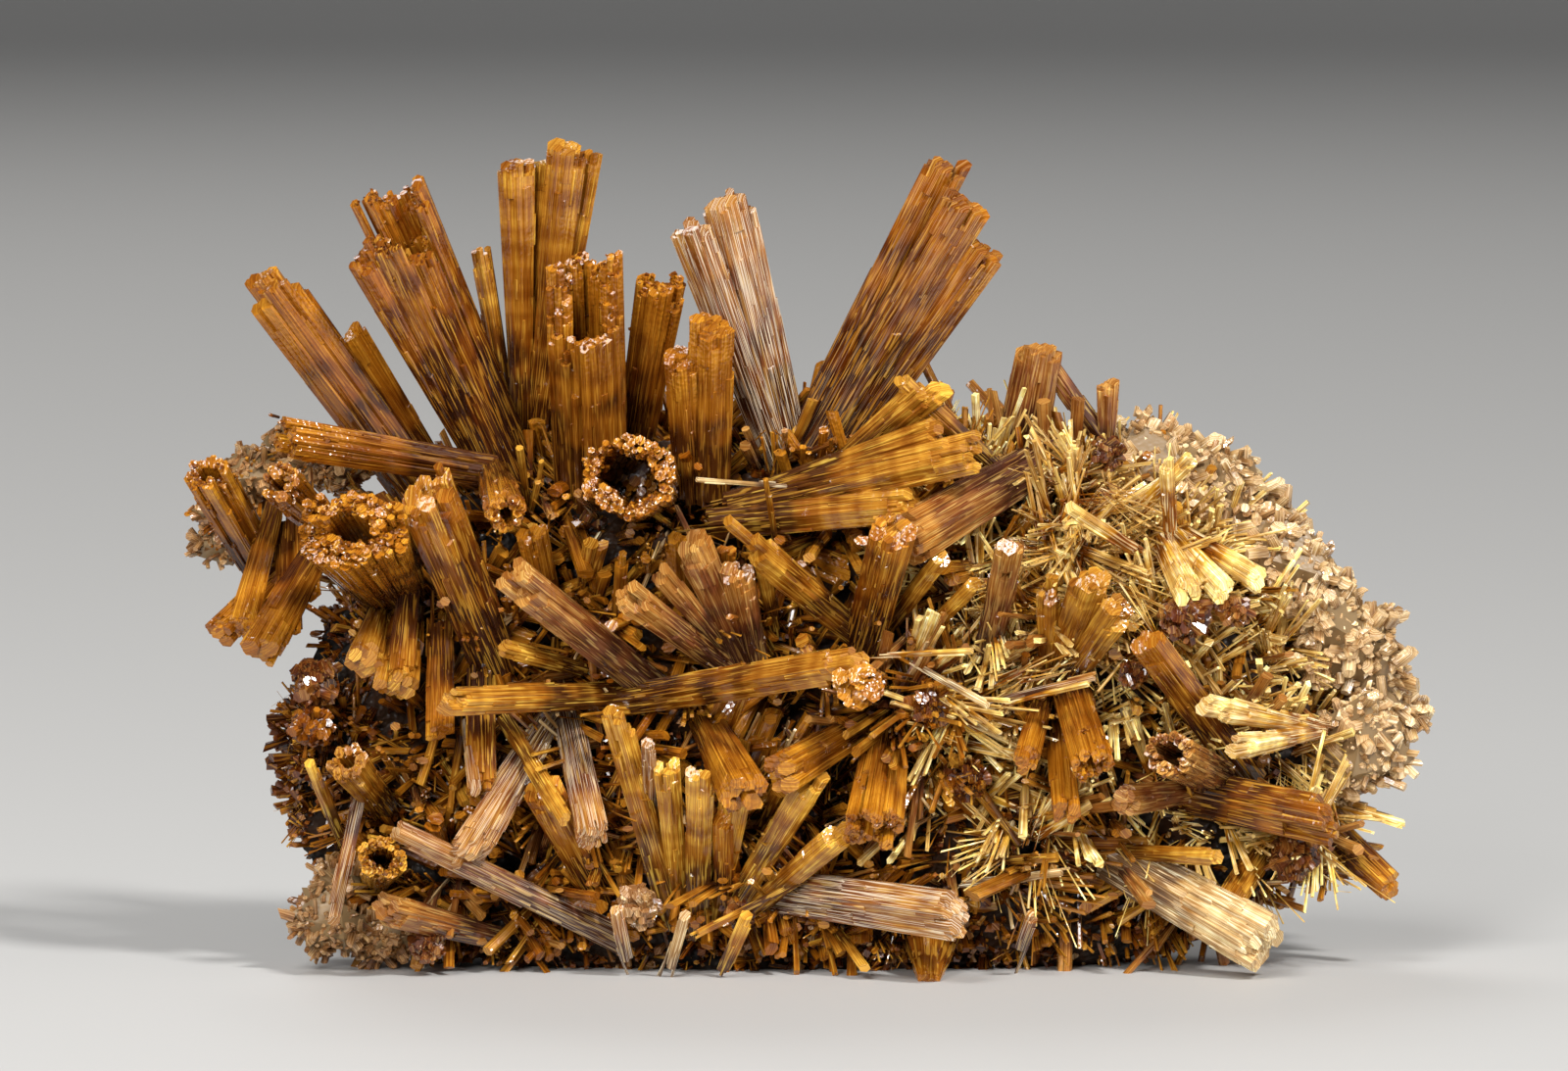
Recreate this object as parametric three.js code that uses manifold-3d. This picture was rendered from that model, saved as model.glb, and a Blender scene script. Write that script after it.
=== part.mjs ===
// A cabinet specimen of vanadinite: a slab of dark vein rock that stands on its broken foot, with sheaves
// of orange-brown prisms, many of them hollow, growing out of it on every side.
// Millimetres, +Z up. The show side faces -Y, and the origin is the middle of the flat foot.

import * as THREE from 'three';
import { mergeVertices } from 'three/addons/utils/BufferGeometryUtils.js';
import Module from 'manifold-3d';

const wasm = await Module();
wasm.setup();

// Driving dimensions
const SEAT_GAP = 0.3;
const DETAIL = 0.12;
const ROCK = {
  halfWidth: 26.3,
  halfDepth: 6.1,
  height: 27.8,
  sunk: 0.05,
  squareness: 2.6,
  lean: [0.6, 1.5],
  leanBy: 9,
};
const ROCK_SKYLINE = [[-28, 0.75], [-22, 0.98], [-12, 1.02], [8, 1.02], [15, 1], [21, 0.92], [28, 0.74]];
const ROCK_WAVES = [{ height: 0.6, along: [17, -6, 5] }, { height: 0.45, along: [-11, 16, 19] }];
const ROCK_FACETS = 4;

// How a prism is built unless its row says otherwise: its thickness and its neck as shares of its width, how
// many ribs it is bundled of, how far the ribs break off short of each other, how deep its end is dished and
// how wide the grooves between the ribs are
const PRISM = { flat: 0.88, neck: 0.66, ribs: 6, jag: 0.12, dip: 0.16, groove: 0.08 };
const SLENDER = 2.7;
const BORE = { sides: 7, taper: 0.72, share: 0.6, depth: 1.6 };
const FINISH = {
  rock: { color: 0x2a2019, roughness: 0.85 },
  honey: { color: 0xb5701c, roughness: 0.35 },
  chestnut: { color: 0x6b3312, roughness: 0.35 },
  golden: { color: 0xc08a2c, roughness: 0.35 },
  rosy: { color: 0x8f5634, roughness: 0.4 },
  cream: { color: 0xc9ab7d, roughness: 0.5 },
  druse: { color: 0xb98a55, roughness: 0.6 },
  straw: { color: 0xc7a03e, roughness: 0.4 },
};

// Each prism is the middle of its root, the middle of its tip, how wide it is there, and what sets it apart.
// Prisms under one name grew into each other. A prism gives way to those listed before it.
const CRYSTALS = {
  // The skyline, from left to right
  great_left_sheaf: { look: 'chestnut', prisms: [
    [[-14.6, -1, 24.25], [-20.6, -6, 38.15], 4.6, { hollow: 0.42, ribs: 8, jag: 0.2 }],
    [[-14.6, -1, 26.25], [-19.9, -5, 39.75], 1.9, { neck: 0.9, jag: 0.05 }],
    [[-16.8, -2, 26.25], [-22.3, -6.5, 36.45], 1.9, { jag: 0.05 }],
  ] },
  tall_back_sheaf: { look: 'golden', prisms: [
    [[-14.3, 1, 25.25], [-14.6, -1, 41.05], 2.2, { neck: 0.5, jag: 0.03 }],
    [[-14.2, 1.5, 25.25], [-12.9, 0, 40.65], 2.2, { neck: 0.5, jag: 0.08 }],
    [[-13.8, 1, 25.25], [-12, -1.5, 41.75], 2.3, { neck: 0.5, jag: 0.05 }],
    [[-13.6, 1.5, 25.25], [-10.8, -0.5, 41.55], 1.4, { neck: 0.7, jag: 0.02 }],
    [[-14.8, 1.2, 26.25], [-16.5, 0, 36.45], 1.3, { jag: 0.1 }],
  ] },
  silver_sheaf: { look: 'rosy', prisms: [
    [[-0.6, 0, 25.25], [-4.1, -4, 39.25], 2.6, { neck: 0.8, jag: 0.03 }],
    [[-1.2, -0.5, 25.25], [-5.5, -5, 37.95], 2, { neck: 0.8, jag: 0.06 }],
    [[-1.6, -0.5, 25.25], [-6.4, -4, 37.65], 1, { neck: 0.8, jag: 0.04 }],
    [[0, 0, 25.25], [-3, -3, 38.45], 1.6, { neck: 0.7, jag: 0.04 }],
  ] },
  great_right_sheaf: { look: 'chestnut', prisms: [
    [[-0.6, 0, 25.25], [7.3, -3, 40.95], 2.5, { neck: 0.9, jag: 0.05 }],
    [[0.3, -1, 25.25], [8.2, -5, 38.95], 2.9, { neck: 0.8, jag: 0.06 }],
    [[1.2, -1, 25.05], [9.2, -4.5, 36.75], 2.5, { neck: 0.7, jag: 0.05 }],
    [[0.4, 0.5, 25.25], [8.2, -1.5, 38.45], 2.4, { neck: 0.7, jag: 0.06 }],
  ] },
  central_hollow_sheath: { look: 'honey', prisms: [
    [[-10.8, -1.5, 24.25], [-11.1, -8.5, 35.85], 4.4, { hollow: 0.5, ribs: 9, neck: 0.95, scoop: 0.3 }],
  ] },
  left_leaning_prisms: { look: 'honey', prisms: [
    [[-20, -1, 24.85], [-27.1, -4, 34.85], 3.4, { jag: 0.2, neck: 0.85 }],
    [[-18.8, -0.4, 25.25], [-23.3, -2, 32.45], 2.2, { jag: 0.15 }],
  ] },
  dark_mouthed_tube: { look: 'honey', prisms: [
    [[-8.8, 0, 25.45], [-7.2, -4.5, 34.95], 2.9, { hollow: 0.5, jag: 0.1 }],
  ] },
  round_open_tube: { look: 'honey', prisms: [
    [[-8.2, -3, 24.65], [-8.8, -13.5, 25.85], 5.2, { hollow: 0.6, ribs: 10, jag: 0.04, neck: 0.8 }],
  ] },
  middle_upright_prism: { look: 'honey', prisms: [
    [[-4.8, -3, 24.25], [-4.6, -7.5, 33.15], 2.6, { jag: 0.1, neck: 0.9 }],
    [[-5.8, -3, 24.25], [-6.2, -7, 31.45], 1.9, { jag: 0.06, neck: 0.9 }],
  ] },
  golden_spur: { look: 'golden', prisms: [
    [[1.5, -4, 25.45], [6.4, -6.5, 29.75], 2.2, { jag: 0.2 }],
    [[9.4, -5, 26.05], [5, -6.5, 30.15], 1.1, { neck: 0.95, jag: 0.1 }],
  ] },
  peak_blades: { look: 'rosy', prisms: [
    [[11, 0, 25.85], [12, -1.5, 31.45], 2.6, { flat: 0.4, jag: 0.1, neck: 1.1 }],
    [[15.6, 0, 26.25], [12.1, -1.2, 31.25], 1.1, { neck: 1, jag: 0.05 }],
    [[15.4, 0, 25.65], [15.5, -1, 29.85], 1.3, { jag: 0.15 }],
  ] },

  // The middle of the show side
  golden_sheaf: { look: 'golden', prisms: [
    [[-3.6, -5, 23.65], [8.2, -9, 26.65], 2.4, { neck: 0.8, jag: 0.16 }],
    [[-1.5, -5, 24.65], [6.6, -8, 27.55], 2, { jag: 0.12 }],
    [[-4.6, -5, 22.85], [5.4, -8.5, 24.05], 2, { neck: 0.9, jag: 0.1 }],
  ] },
  bent_prism_lower: { look: 'chestnut', prisms: [
    [[3, -5, 16.65], [4.5, -11.5, 23.05], 2.6, { jag: 0.06, neck: 0.85 }],
  ] },
  bent_prism_upper: { look: 'rosy', prisms: [
    [[11.4, -4.5, 25.65], [5, -9.5, 22.25], 3.1, { jag: 0.05, neck: 0.8 }],
  ] },
  right_diagonal_sheaf: { look: 'golden', prisms: [
    [[3.4, -5, 16.65], [-3.1, -10, 22.45], 2.1, { jag: 0.25 }],
  ] },
  level_prisms: { look: 'golden', prisms: [
    [[-9.8, -5, 13.75], [2.3, -11.5, 16.25], 2.2, { neck: 0.8, jag: 0.1 }],
    [[-9.4, -5, 14.15], [-17.9, -11.5, 14.35], 1.7, { neck: 0.9, jag: 0.06 }],
  ] },
  long_diagonal_prism: { look: 'rosy', prisms: [
    [[-7.8, -5, 14.65], [-14.6, -11.5, 20.65], 2.2, { neck: 0.9, jag: 0.14 }],
  ] },
  centre_fan: { look: 'rosy', prisms: [
    [[-3.6, -5, 15.25], [-8.5, -10.5, 19.35], 1.9, { jag: 0.2 }],
    [[-3.4, -5, 15.85], [-7.1, -10, 20.55], 1.3, { jag: 0.2 }],
    [[-3, -5, 15.85], [-5.6, -9.5, 22.05], 2.3, { jag: 0.12 }],
    [[-2.4, -5, 15.85], [-3.4, -9, 20.65], 2, { jag: 0.12 }],
  ] },
  orange_knob: { look: 'honey', prisms: [
    [[3.4, -5, 14.65], [2.7, -12.5, 15.25], 2.9, { ribs: 8, jag: 0.1 }],
  ] },
  hanging_prism_left: { look: 'honey', prisms: [
    [[-5, -5, 12.85], [-3, -10.5, 9.55], 3, { jag: 0.1 }],
  ] },
  hanging_prism_middle: { look: 'honey', prisms: [
    [[3.4, -5, 12.85], [-1.2, -10.5, 10.65], 2.5, { jag: 0.12 }],
  ] },
  hanging_prism_right: { look: 'honey', prisms: [
    [[4.4, -4.5, 13.05], [3.5, -10.5, 7.85], 3.4, { hollow: 0.45, ribs: 8, jag: 0.12 }],
  ] },

  // The left side
  ragged_hollow: { look: 'honey', prisms: [
    [[-20.9, -2.5, 19.25], [-22.7, -12, 23.05], 6.4, { flat: 0.72, hollow: 0.4, ribs: 11, neck: 0.6 }],
  ] },
  dark_front_sheaf: { look: 'chestnut', prisms: [
    [[-15.6, -4, 15.65], [-19.1, -11, 25.15], 3.5, { ribs: 8, jag: 0.16, neck: 0.8 }],
  ] },
  left_edge_tube: { look: 'honey', prisms: [
    [[-27.4, 0.5, 19.75], [-30.2, -6, 25.55], 2.8, { hollow: 0.5, jag: 0.08, neck: 0.8 }],
  ] },
  left_level_prisms: { look: 'honey', prisms: [
    [[-16, -3.5, 25.45], [-26, -7.5, 27.35], 2.3, { hollow: 0.4, jag: 0.1, neck: 0.8 }],
    [[-15.8, -3.5, 25.45], [-15, -9.5, 23.65], 2.5, { hollow: 0.45, jag: 0.12 }],
  ] },
  left_cross_prism: { look: 'honey', prisms: [
    [[-24.4, -3, 22.65], [-26.4, -9.5, 25.25], 2.5, { hollow: 0.45, jag: 0.1 }],
  ] },
  left_hanging_prisms: { look: 'honey', prisms: [
    [[-25.6, -2, 21.25], [-29.6, -5, 17.25], 1.9, { jag: 0.06 }],
    [[-24.8, -2.5, 21.25], [-27.6, -6, 16.35], 2.7, { jag: 0.08 }],
  ] },
  left_under_prisms: { look: 'golden', prisms: [
    [[-21.6, -4, 18.05], [-22.2, -7.5, 16.05], 2.2, { jag: 0.1 }],
    [[-20, -4, 18.45], [-20.6, -7.5, 14.85], 2.6, { jag: 0.2 }],
  ] },
  lower_left_tube_high: { look: 'golden', prisms: [
    [[-21.4, -4, 8.45], [-23.1, -9.5, 11.25], 2.4, { hollow: 0.5, jag: 0.06 }],
  ] },
  lower_left_tube_low: { look: 'golden', prisms: [
    [[-21.6, -4, 4.85], [-21.2, -11, 6.45], 2.8, { hollow: 0.5, ribs: 8, jag: 0.05 }],
  ] },

  // The fan along the foot
  hanging_slabs: { look: 'rosy', prisms: [
    [[-12.8, -4, 13.05], [-16.9, -10, 6.45], 2.4, { jag: 0.12, neck: 0.6 }],
    [[-12, -4, 13.05], [-10.6, -9.5, 7.25], 1.9, { jag: 0.05, neck: 0.85 }],
  ] },
  foot_fan: { look: 'golden', knot: { at: [-5.2, -4.2, 2.3], size: 2.2 }, prisms: [
    [[-6.6, -4.6, 2.4], [-9.3, -9, 12.85], 1.7, { jag: 0.25, neck: 0.8 }],
    [[-6.2, -4, 2.05], [-6.9, -9, 10.65], 1.5, { jag: 0.1 }],
    [[-5.4, -4.5, 2.05], [-5.2, -10, 10.45], 1.7, { jag: 0.1 }],
    [[-4.6, -4, 2.25], [-3.4, -8.5, 9.65], 1.8, { jag: 0.1 }],
    [[-4, -4.6, 2.6], [0.5, -9, 10.25], 1.8, { jag: 0.1 }],
    [[-3.6, -4, 2.25], [1.8, -9.5, 7.45], 1.6, { jag: 0.1 }],
  ] },
  dark_slanted_prism: { look: 'chestnut', prisms: [
    [[-9.6, -3, 2.25], [-13.2, -8, 9.65], 2.3, { jag: 0.1 }],
  ] },
  long_low_prism: { look: 'rosy', prisms: [
    [[-9.4, -4.5, 1.65], [-20.4, -10.5, 7.65], 1.3, { jag: 0.05, neck: 1.2 }],
  ] },
  silver_log: { look: 'rosy', prisms: [
    [[-2.4, -4, 4.25], [7.8, -12, 3.55], 2.8, { jag: 0.05, neck: 0.85 }],
  ] },
  front_tooth: { look: 'chestnut', prisms: [
    [[6.5, -2, 3.15], [6.3, -9.6, -0.05], 1.2, { neck: 3.4, flat: 0.7, jag: 0 }],
  ] },
  low_pink_prism: { look: 'rosy', prisms: [
    [[-15.4, -4, 1.65], [-21, -9.5, 3.65], 1.9, { jag: 0.1 }],
  ] },

  // The right side
  banded_right_prism: { look: 'rosy', prisms: [
    [[9.2, -4.5, 15.65], [10.3, -11, 21.85], 1.8, { jag: 0.2, neck: 0.8 }],
  ] },
  golden_block_fan: { look: 'golden', prisms: [
    [[12.6, -4.5, 14.45], [14.5, -10.5, 20.45], 2.4, { jag: 0.12 }],
    [[12.8, -4.5, 14.05], [15.8, -10, 18.85], 2, { jag: 0.12 }],
    [[12.4, -4.5, 14.45], [12.4, -9.5, 20.05], 1.6, { jag: 0.2 }],
  ] },
  hanging_trio: { look: 'honey', prisms: [
    [[13.2, -4, 15.45], [14.6, -11, 11.05], 2.5, { hollow: 0.42, jag: 0.08, neck: 0.8 }],
    [[12.8, -4, 14.45], [13.2, -10, 8.45], 1.7, { jag: 0.06, neck: 0.8 }],
    [[12.4, -4, 14.85], [11.1, -10, 11.05], 1.6, { jag: 0.1, neck: 0.8 }],
  ] },
  white_rimmed_tube: { look: 'rosy', prisms: [
    [[21, -3.5, 9.85], [18.3, -11.5, 11.75], 2.8, { hollow: 0.56, ribs: 8, jag: 0.05, neck: 0.9 }],
    [[20.4, -3.5, 9.25], [16, -9.5, 9.15], 1.8, { jag: 0.15 }],
  ] },
  right_brown_diagonal: { look: 'chestnut', prisms: [
    [[22.6, -3, 9.85], [17.3, -10.5, 17.25], 2, { jag: 0.08, neck: 0.95 }],
  ] },
  frayed_sheaf: { look: 'chestnut', prisms: [
    [[17.6, -3, 9.45], [26.2, -7.5, 8.05], 2.8, { jag: 0.22, neck: 0.9 }],
  ] },
  straw_fan: { look: 'straw', prisms: [
    [[18, -3.5, 22.25], [19.4, -9, 19.65], 1.8, { flat: 0.6, jag: 0.1 }],
    [[18.6, -3.5, 22.25], [21.2, -8.5, 19.65], 1.6, { flat: 0.6, jag: 0.1 }],
    [[19, -3.5, 22.45], [23, -8, 20.25], 1.4, { flat: 0.6, jag: 0.1 }],
  ] },
  right_needle_spray: { look: 'straw', prisms: [
    [[26.4, -2.5, 12.25], [20.6, -9, 13.85], 1.7, { flat: 0.5, neck: 0.4, jag: 0.2 }],
    [[26.4, -2.5, 12.05], [21.8, -9, 11.85], 1.6, { flat: 0.5, neck: 0.4, jag: 0.2 }],
  ] },
  slanted_banded_prism: { look: 'golden', prisms: [
    [[24.2, -2, 7.25], [20.8, -7, 2.65], 1.7, { jag: 0.05, neck: 0.9 }],
  ] },
  cream_foot_prism: { look: 'cream', prisms: [
    [[15.6, -3.5, 5.75], [23.3, -8.5, 1.85], 3.5, { ribs: 8, jag: 0.08, neck: 0.8 }],
  ] },
  rust_spur: { look: 'chestnut', prisms: [
    [[26.4, 0, 7.25], [30, -2.5, 4.05], 1.7, { jag: 0.1, neck: 1.2 }],
  ] },

  // The back
  back_left_sheaf: { look: 'chestnut', prisms: [
    [[-17, 4, 16.25], [-22, 12.5, 22.25], 4.4, { ribs: 8, jag: 0.15 }],
  ] },
  back_middle_tube: { look: 'honey', prisms: [
    [[-5, 5, 16.25], [-7.5, 13.5, 19.75], 4, { hollow: 0.5, ribs: 8, jag: 0.1, neck: 0.8 }],
  ] },
  back_right_sheaf: { look: 'honey', prisms: [
    [[8, 5, 15.25], [13, 12.5, 22.25], 3.8, { ribs: 8, jag: 0.15 }],
  ] },
  back_low_prism: { look: 'rosy', prisms: [
    [[2, 5, 7.25], [8, 12, 7.75], 3.2, { jag: 0.12 }],
  ] },
};

// A crust is a run of small blocky crystals along a line, spread about it by so much on each axis
const CRUSTS = {
  right_edge_druse: {
    line: [[15.4, 1, 26], [19, 1, 25], [22.4, 1, 22.2], [25.4, 1, 19], [28, 1, 16], [29, 1, 13], [28, 1, 10]],
    lumps: 12,
    size: [2.5, 3.1],
    spread: [0.2, 1.6, 0.2],
  },
  left_edge_druse: {
    line: [[-23.4, 1.6, 24.6], [-26.6, 2, 25.6], [-29, 2, 24.4], [-30, 2, 21.4]],
    lumps: 8,
    size: [1.4, 2],
    spread: [0.3, 0.8, 0.4],
  },
  lower_left_druse: {
    line: [[-23.6, -1.6, 4.2], [-24.2, -3, 2.2], [-21, -3.4, 1.6]],
    lumps: 6,
    size: [1.5, 2],
    spread: [0.3, 0.8, 0.3],
  },
  back_druse: {
    line: [[-2, 8, 22.4], [2, 8.4, 18.6], [6, 8.2, 14.6], [4, 8, 10.8]],
    lumps: 8,
    size: [2.6, 3.3],
    spread: [1.4, 0.4, 0.8],
  },
};

// Bosses of the vein rock that show between the prisms
const BOSSES = [
  { at: [6.4, -5.2, 13.7], size: 2.4 },
  { at: [11, -4.4, 6], size: 2.7 },
  { at: [25.4, -1.6, 6.2], size: 2.2 },
  { at: [-24, -1, 12], size: 3 },
  { at: [16, 6, 10], size: 3.8 },
];

// The felt of yellow needles: low pads on the rock with needles fanning out of them
const FELT = {
  roots: [[13.4, -4, 23], [17.6, -3.8, 18.8], [12.4, -4, 17.6]],
  padSize: 4,
  needlesEach: 3,
  reach: [4.4, 6.4],
  thickness: 0.42,
};

// A repeatable stream of numbers from 0 to 1
function randomStream(seed) {
  let state = seed >>> 0;
  return () => {
    state = (state + 0x6d2b79f5) >>> 0;
    let mixed = Math.imul(state ^ (state >>> 15), state | 1);
    mixed ^= mixed + Math.imul(mixed ^ (mixed >>> 7), mixed | 61);
    return ((mixed ^ (mixed >>> 14)) >>> 0) / 2 ** 32;
  };
}

const seedOf = (text) => [...text].reduce((sum, letter) => (sum * 31 + letter.charCodeAt(0)) >>> 0, 7);
const between = (random, [low, high]) => low + (high - low) * random();
const union = (solids) => wasm.Manifold.union(solids);

// A closed three.js geometry as a solid, and a solid as a three.js geometry about its own origin
function solidFrom(geometry) {
  geometry.deleteAttribute('normal');
  geometry.deleteAttribute('uv');
  const merged = mergeVertices(geometry, 1e-4);
  return new wasm.Manifold(new wasm.Mesh({
    numProp: 3,
    vertProperties: merged.attributes.position.array,
    triVerts: new Uint32Array(merged.index.array),
  }));
}

function geometryFrom(solid, origin) {
  const mesh = solid.getMesh();
  const geometry = new THREE.BufferGeometry()
    .setAttribute('position', new THREE.BufferAttribute(new Float32Array(mesh.vertProperties), 3))
    .setIndex(new THREE.BufferAttribute(mesh.triVerts, 1))
    .translate(-origin.x, -origin.y, -origin.z);
  geometry.computeVertexNormals();
  return geometry;
}

const largestBody = (solid) => solid.decompose().sort((a, b) => b.volume() - a.volume())[0];

// Moves each vertex of a geometry by a rule that changes the point it is given
function reshape(geometry, rule) {
  const position = geometry.attributes.position;
  const point = new THREE.Vector3();
  for (let i = 0; i < position.count; i++) {
    point.fromBufferAttribute(position, i);
    rule(point);
    position.setXYZ(i, point.x, point.y, point.z);
  }
  return geometry;
}

// The turn and place of a prism: its own Y runs from root to tip, and its own Z faces the viewer
function prismFrame(root, tip) {
  const axis = tip.clone().sub(root).normalize();
  const facing = Math.abs(axis.y) > 0.9 ? new THREE.Vector3(0, 0, 1) : new THREE.Vector3(0, -1, 0);
  const sideways = new THREE.Vector3().crossVectors(axis, facing).normalize();
  const front = new THREE.Vector3().crossVectors(sideways, axis);
  return new THREE.Matrix4().makeBasis(sideways, axis, front).setPosition(root);
}

function readPrism([root, tip, across, own = {}]) {
  const [from, to] = [new THREE.Vector3(...root), new THREE.Vector3(...tip)];
  const shape = { ...PRISM, hollow: 0, scoop: 0, ...own, across };
  return { ...shape, from, to, length: from.distanceTo(to) * (1 + shape.jag / 2) };
}

// A bundle of ribs that widens from its neck, each rib flat-faced and broken off at its own height. Each rib
// of a wide prism has two corners, and each rib of a slender one has only one.
function prismSolid(row) {
  const { from, to, length, across, flat, neck, ribs, jag, dip, groove, hollow, scoop } = readPrism(row);
  const random = randomStream(seedOf(row.join()));
  const radius = across / 2;
  const cornersPerRib = across < SLENDER ? 1 : 2;
  const corners = ribs * cornersPerRib;
  const pitch = (2 * Math.PI) / corners;
  const broken = Array.from({ length: ribs }, () => ({ drop: random() * jag, width: 0.9 + 0.1 * random() }));
  const bundle = reshape(
    new THREE.CylinderGeometry(radius, radius * neck, length, corners).translate(0, length / 2, 0),
    (point) => {
      const reach = Math.hypot(point.x, point.z);
      const atTip = point.y > length / 2;
      if (reach < radius / 10) {
        point.y = atTip ? length * (1 - jag / 2) - radius * dip : 0;
        return;
      }
      const corner = (Math.round(Math.atan2(point.x, point.z) / pitch) + corners) % corners;
      const rib = broken[Math.floor(corner / cornersPerRib)];
      const spread = cornersPerRib === 1 ? 0 : (corner % 2 ? 1 : -1) * (0.5 - groove);
      const angle = (corner + spread) * pitch;
      point.x = Math.sin(angle) * reach * rib.width;
      point.z = Math.cos(angle) * reach * rib.width;
      if (atTip) point.y = length * (1 - rib.drop - scoop * Math.max(0, Math.cos(angle)));
    },
  );
  const whole = solidFrom(bundle.scale(1, 1, flat));
  const solid = hollow ? whole.subtract(boreSolid(length, radius, radius * hollow, flat)) : whole;
  return solid.transform(prismFrame(from, to).elements);
}

// The hollow of a tube, a tapering hole that starts beyond the broken tip
function boreSolid(length, radius, mouth, flat) {
  const depth = Math.min(length * BORE.share, 2 * radius * BORE.depth) + radius;
  const hole = new THREE.CylinderGeometry(mouth, mouth * BORE.taper, depth, BORE.sides)
    .scale(1, 1, flat)
    .translate(0, length + radius - depth / 2, 0);
  return solidFrom(hole);
}

// The room that a prism needs: its plain outline, larger all round by the seat gap
function prismRoom(row) {
  const { from, to, length, across, flat, neck } = readPrism(row);
  const sides = 6;
  const outset = 1 / Math.cos(Math.PI / sides);
  const [wide, narrow] = [across / 2, (across / 2) * neck].map((radius) => (radius + SEAT_GAP) * outset);
  const thickness = (flat * across + 2 * SEAT_GAP) / (across + 2 * SEAT_GAP);
  const outline = new THREE.CylinderGeometry(wide, narrow, length + 2 * SEAT_GAP, sides)
    .scale(1, 1, thickness)
    .translate(0, length / 2, 0);
  return solidFrom(outline).transform(prismFrame(from, to).elements);
}

// The height of the rock at a place along it, as a share of its full height
function skylineAt(x) {
  const places = ROCK_SKYLINE.map(([place]) => place);
  const at = THREE.MathUtils.clamp(x, places[0], places[places.length - 1]);
  const next = Math.max(1, places.findIndex((place) => place >= at));
  const [[x0, share0], [x1, share1]] = [ROCK_SKYLINE[next - 1], ROCK_SKYLINE[next]];
  return THREE.MathUtils.mapLinear(at, x0, x1, share0, share1);
}

// The slab of vein rock: a squarish egg that follows its skyline, waved all over, flat where it stands, and
// leaning a little to the back above its foot
function rockSolid(outset) {
  const { halfWidth, halfDepth, height, sunk, squareness, lean, leanBy } = ROCK;
  const egg = reshape(new THREE.IcosahedronGeometry(1, ROCK_FACETS), (point) => {
    const [x, y, z] = point.toArray();
    const powers = [x, y, z].map((value) => Math.abs(value) ** squareness);
    const size = (powers[0] + powers[1] + powers[2]) ** (-1 / squareness);
    const swell = ROCK_WAVES.reduce((sum, wave) => {
      const [ax, ay, az] = wave.along;
      return sum + wave.height * Math.sin(ax * x + ay * y + az * z);
    }, outset);
    const across = x * (size * halfWidth + swell);
    const tall = height * skylineAt(across);
    const up = Math.max(0, (z * size + 1) / 2 - sunk) * tall + Math.max(0, z) * swell;
    const [aside, back] = lean.map((reach) => reach * Math.min(1, up / leanBy));
    point.set(across + aside, y * (size * halfDepth + swell) + back, up);
  });
  return union([solidFrom(egg), ...BOSSES.map(({ at, size }, i) => lumpSolid(at, size + outset, i))]);
}

// An angular lump, turned at random
function lumpSolid(at, size, seed) {
  const random = randomStream(seed);
  const lump = new THREE.DodecahedronGeometry(size)
    .rotateX(random() * Math.PI)
    .rotateY(random() * Math.PI)
    .translate(...at);
  return solidFrom(lump);
}

// A blocky crystal of a crust: a stretched octahedron, turned at random
function blockSolid(at, size, random) {
  const block = new THREE.OctahedronGeometry(size)
    .scale(1, 0.8, 1.25)
    .rotateX(random() * Math.PI)
    .rotateY(random() * Math.PI)
    .translate(...at);
  return solidFrom(block);
}

function crustSolid(name, { line, lumps, size, spread }) {
  const random = randomStream(seedOf(name));
  const path = new THREE.CatmullRomCurve3(line.map((point) => new THREE.Vector3(...point)));
  return union(Array.from({ length: lumps }, (_, i) => {
    const middle = path.getPointAt((i + 0.5) / lumps).toArray();
    const place = middle.map((value, axis) => value + (random() * 2 - 1) * spread[axis]);
    return blockSolid(place, between(random, size), random);
  }));
}

function feltSolid() {
  const random = randomStream(41);
  return union(FELT.roots.flatMap((root, i) => [
    lumpSolid(root, FELT.padSize, i),
    ...Array.from({ length: FELT.needlesEach }, () => {
      const start = new THREE.Vector3(...root);
      const heading = new THREE.Vector3(random() * 2 - 1, -0.35 - random(), random() * 2 - 1).normalize();
      const reach = between(random, FELT.reach);
      const needle = new THREE.ConeGeometry(FELT.thickness, reach, 4).translate(0, reach / 2, 0);
      return solidFrom(needle).transform(prismFrame(start, start.clone().add(heading)).elements);
    }),
  ]));
}

// Pieces join the specimen one by one, each cut back from the room that is taken and from the table
const specimen = new THREE.Group();
const table = solidFrom(new THREE.BoxGeometry(200, 200, 50).translate(0, 0, -25));
let taken = rockSolid(SEAT_GAP).add(table);

function addMesh(name, look, solid, origin) {
  const material = new THREE.MeshStandardMaterial({ ...FINISH[look], metalness: 0 });
  const mesh = new THREE.Mesh(geometryFrom(solid, origin), material);
  mesh.name = name;
  mesh.position.copy(origin);
  specimen.add(mesh);
}

function addPiece(name, look, solid, room, origin) {
  addMesh(name, look, largestBody(solid.subtract(taken).simplify(DETAIL)), new THREE.Vector3(...origin));
  taken = taken.add(room);
}

addMesh('vein_rock', 'rock', rockSolid(0), new THREE.Vector3());

for (const [name, { look, prisms, knot }] of Object.entries(CRYSTALS)) {
  const knots = knot ? [lumpSolid(knot.at, knot.size, 0)] : [];
  const solid = union([...prisms.map(prismSolid), ...knots]);
  addPiece(name, look, solid, union(prisms.map(prismRoom)), prisms[0][0]);
}

for (const [name, crust] of Object.entries(CRUSTS)) {
  const solid = crustSolid(name, crust);
  addPiece(name, 'druse', solid, solid, crust.line[0]);
}

const felt = feltSolid();
addPiece('needle_felt', 'straw', felt, felt, FELT.roots[0]);

export default specimen;
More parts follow.
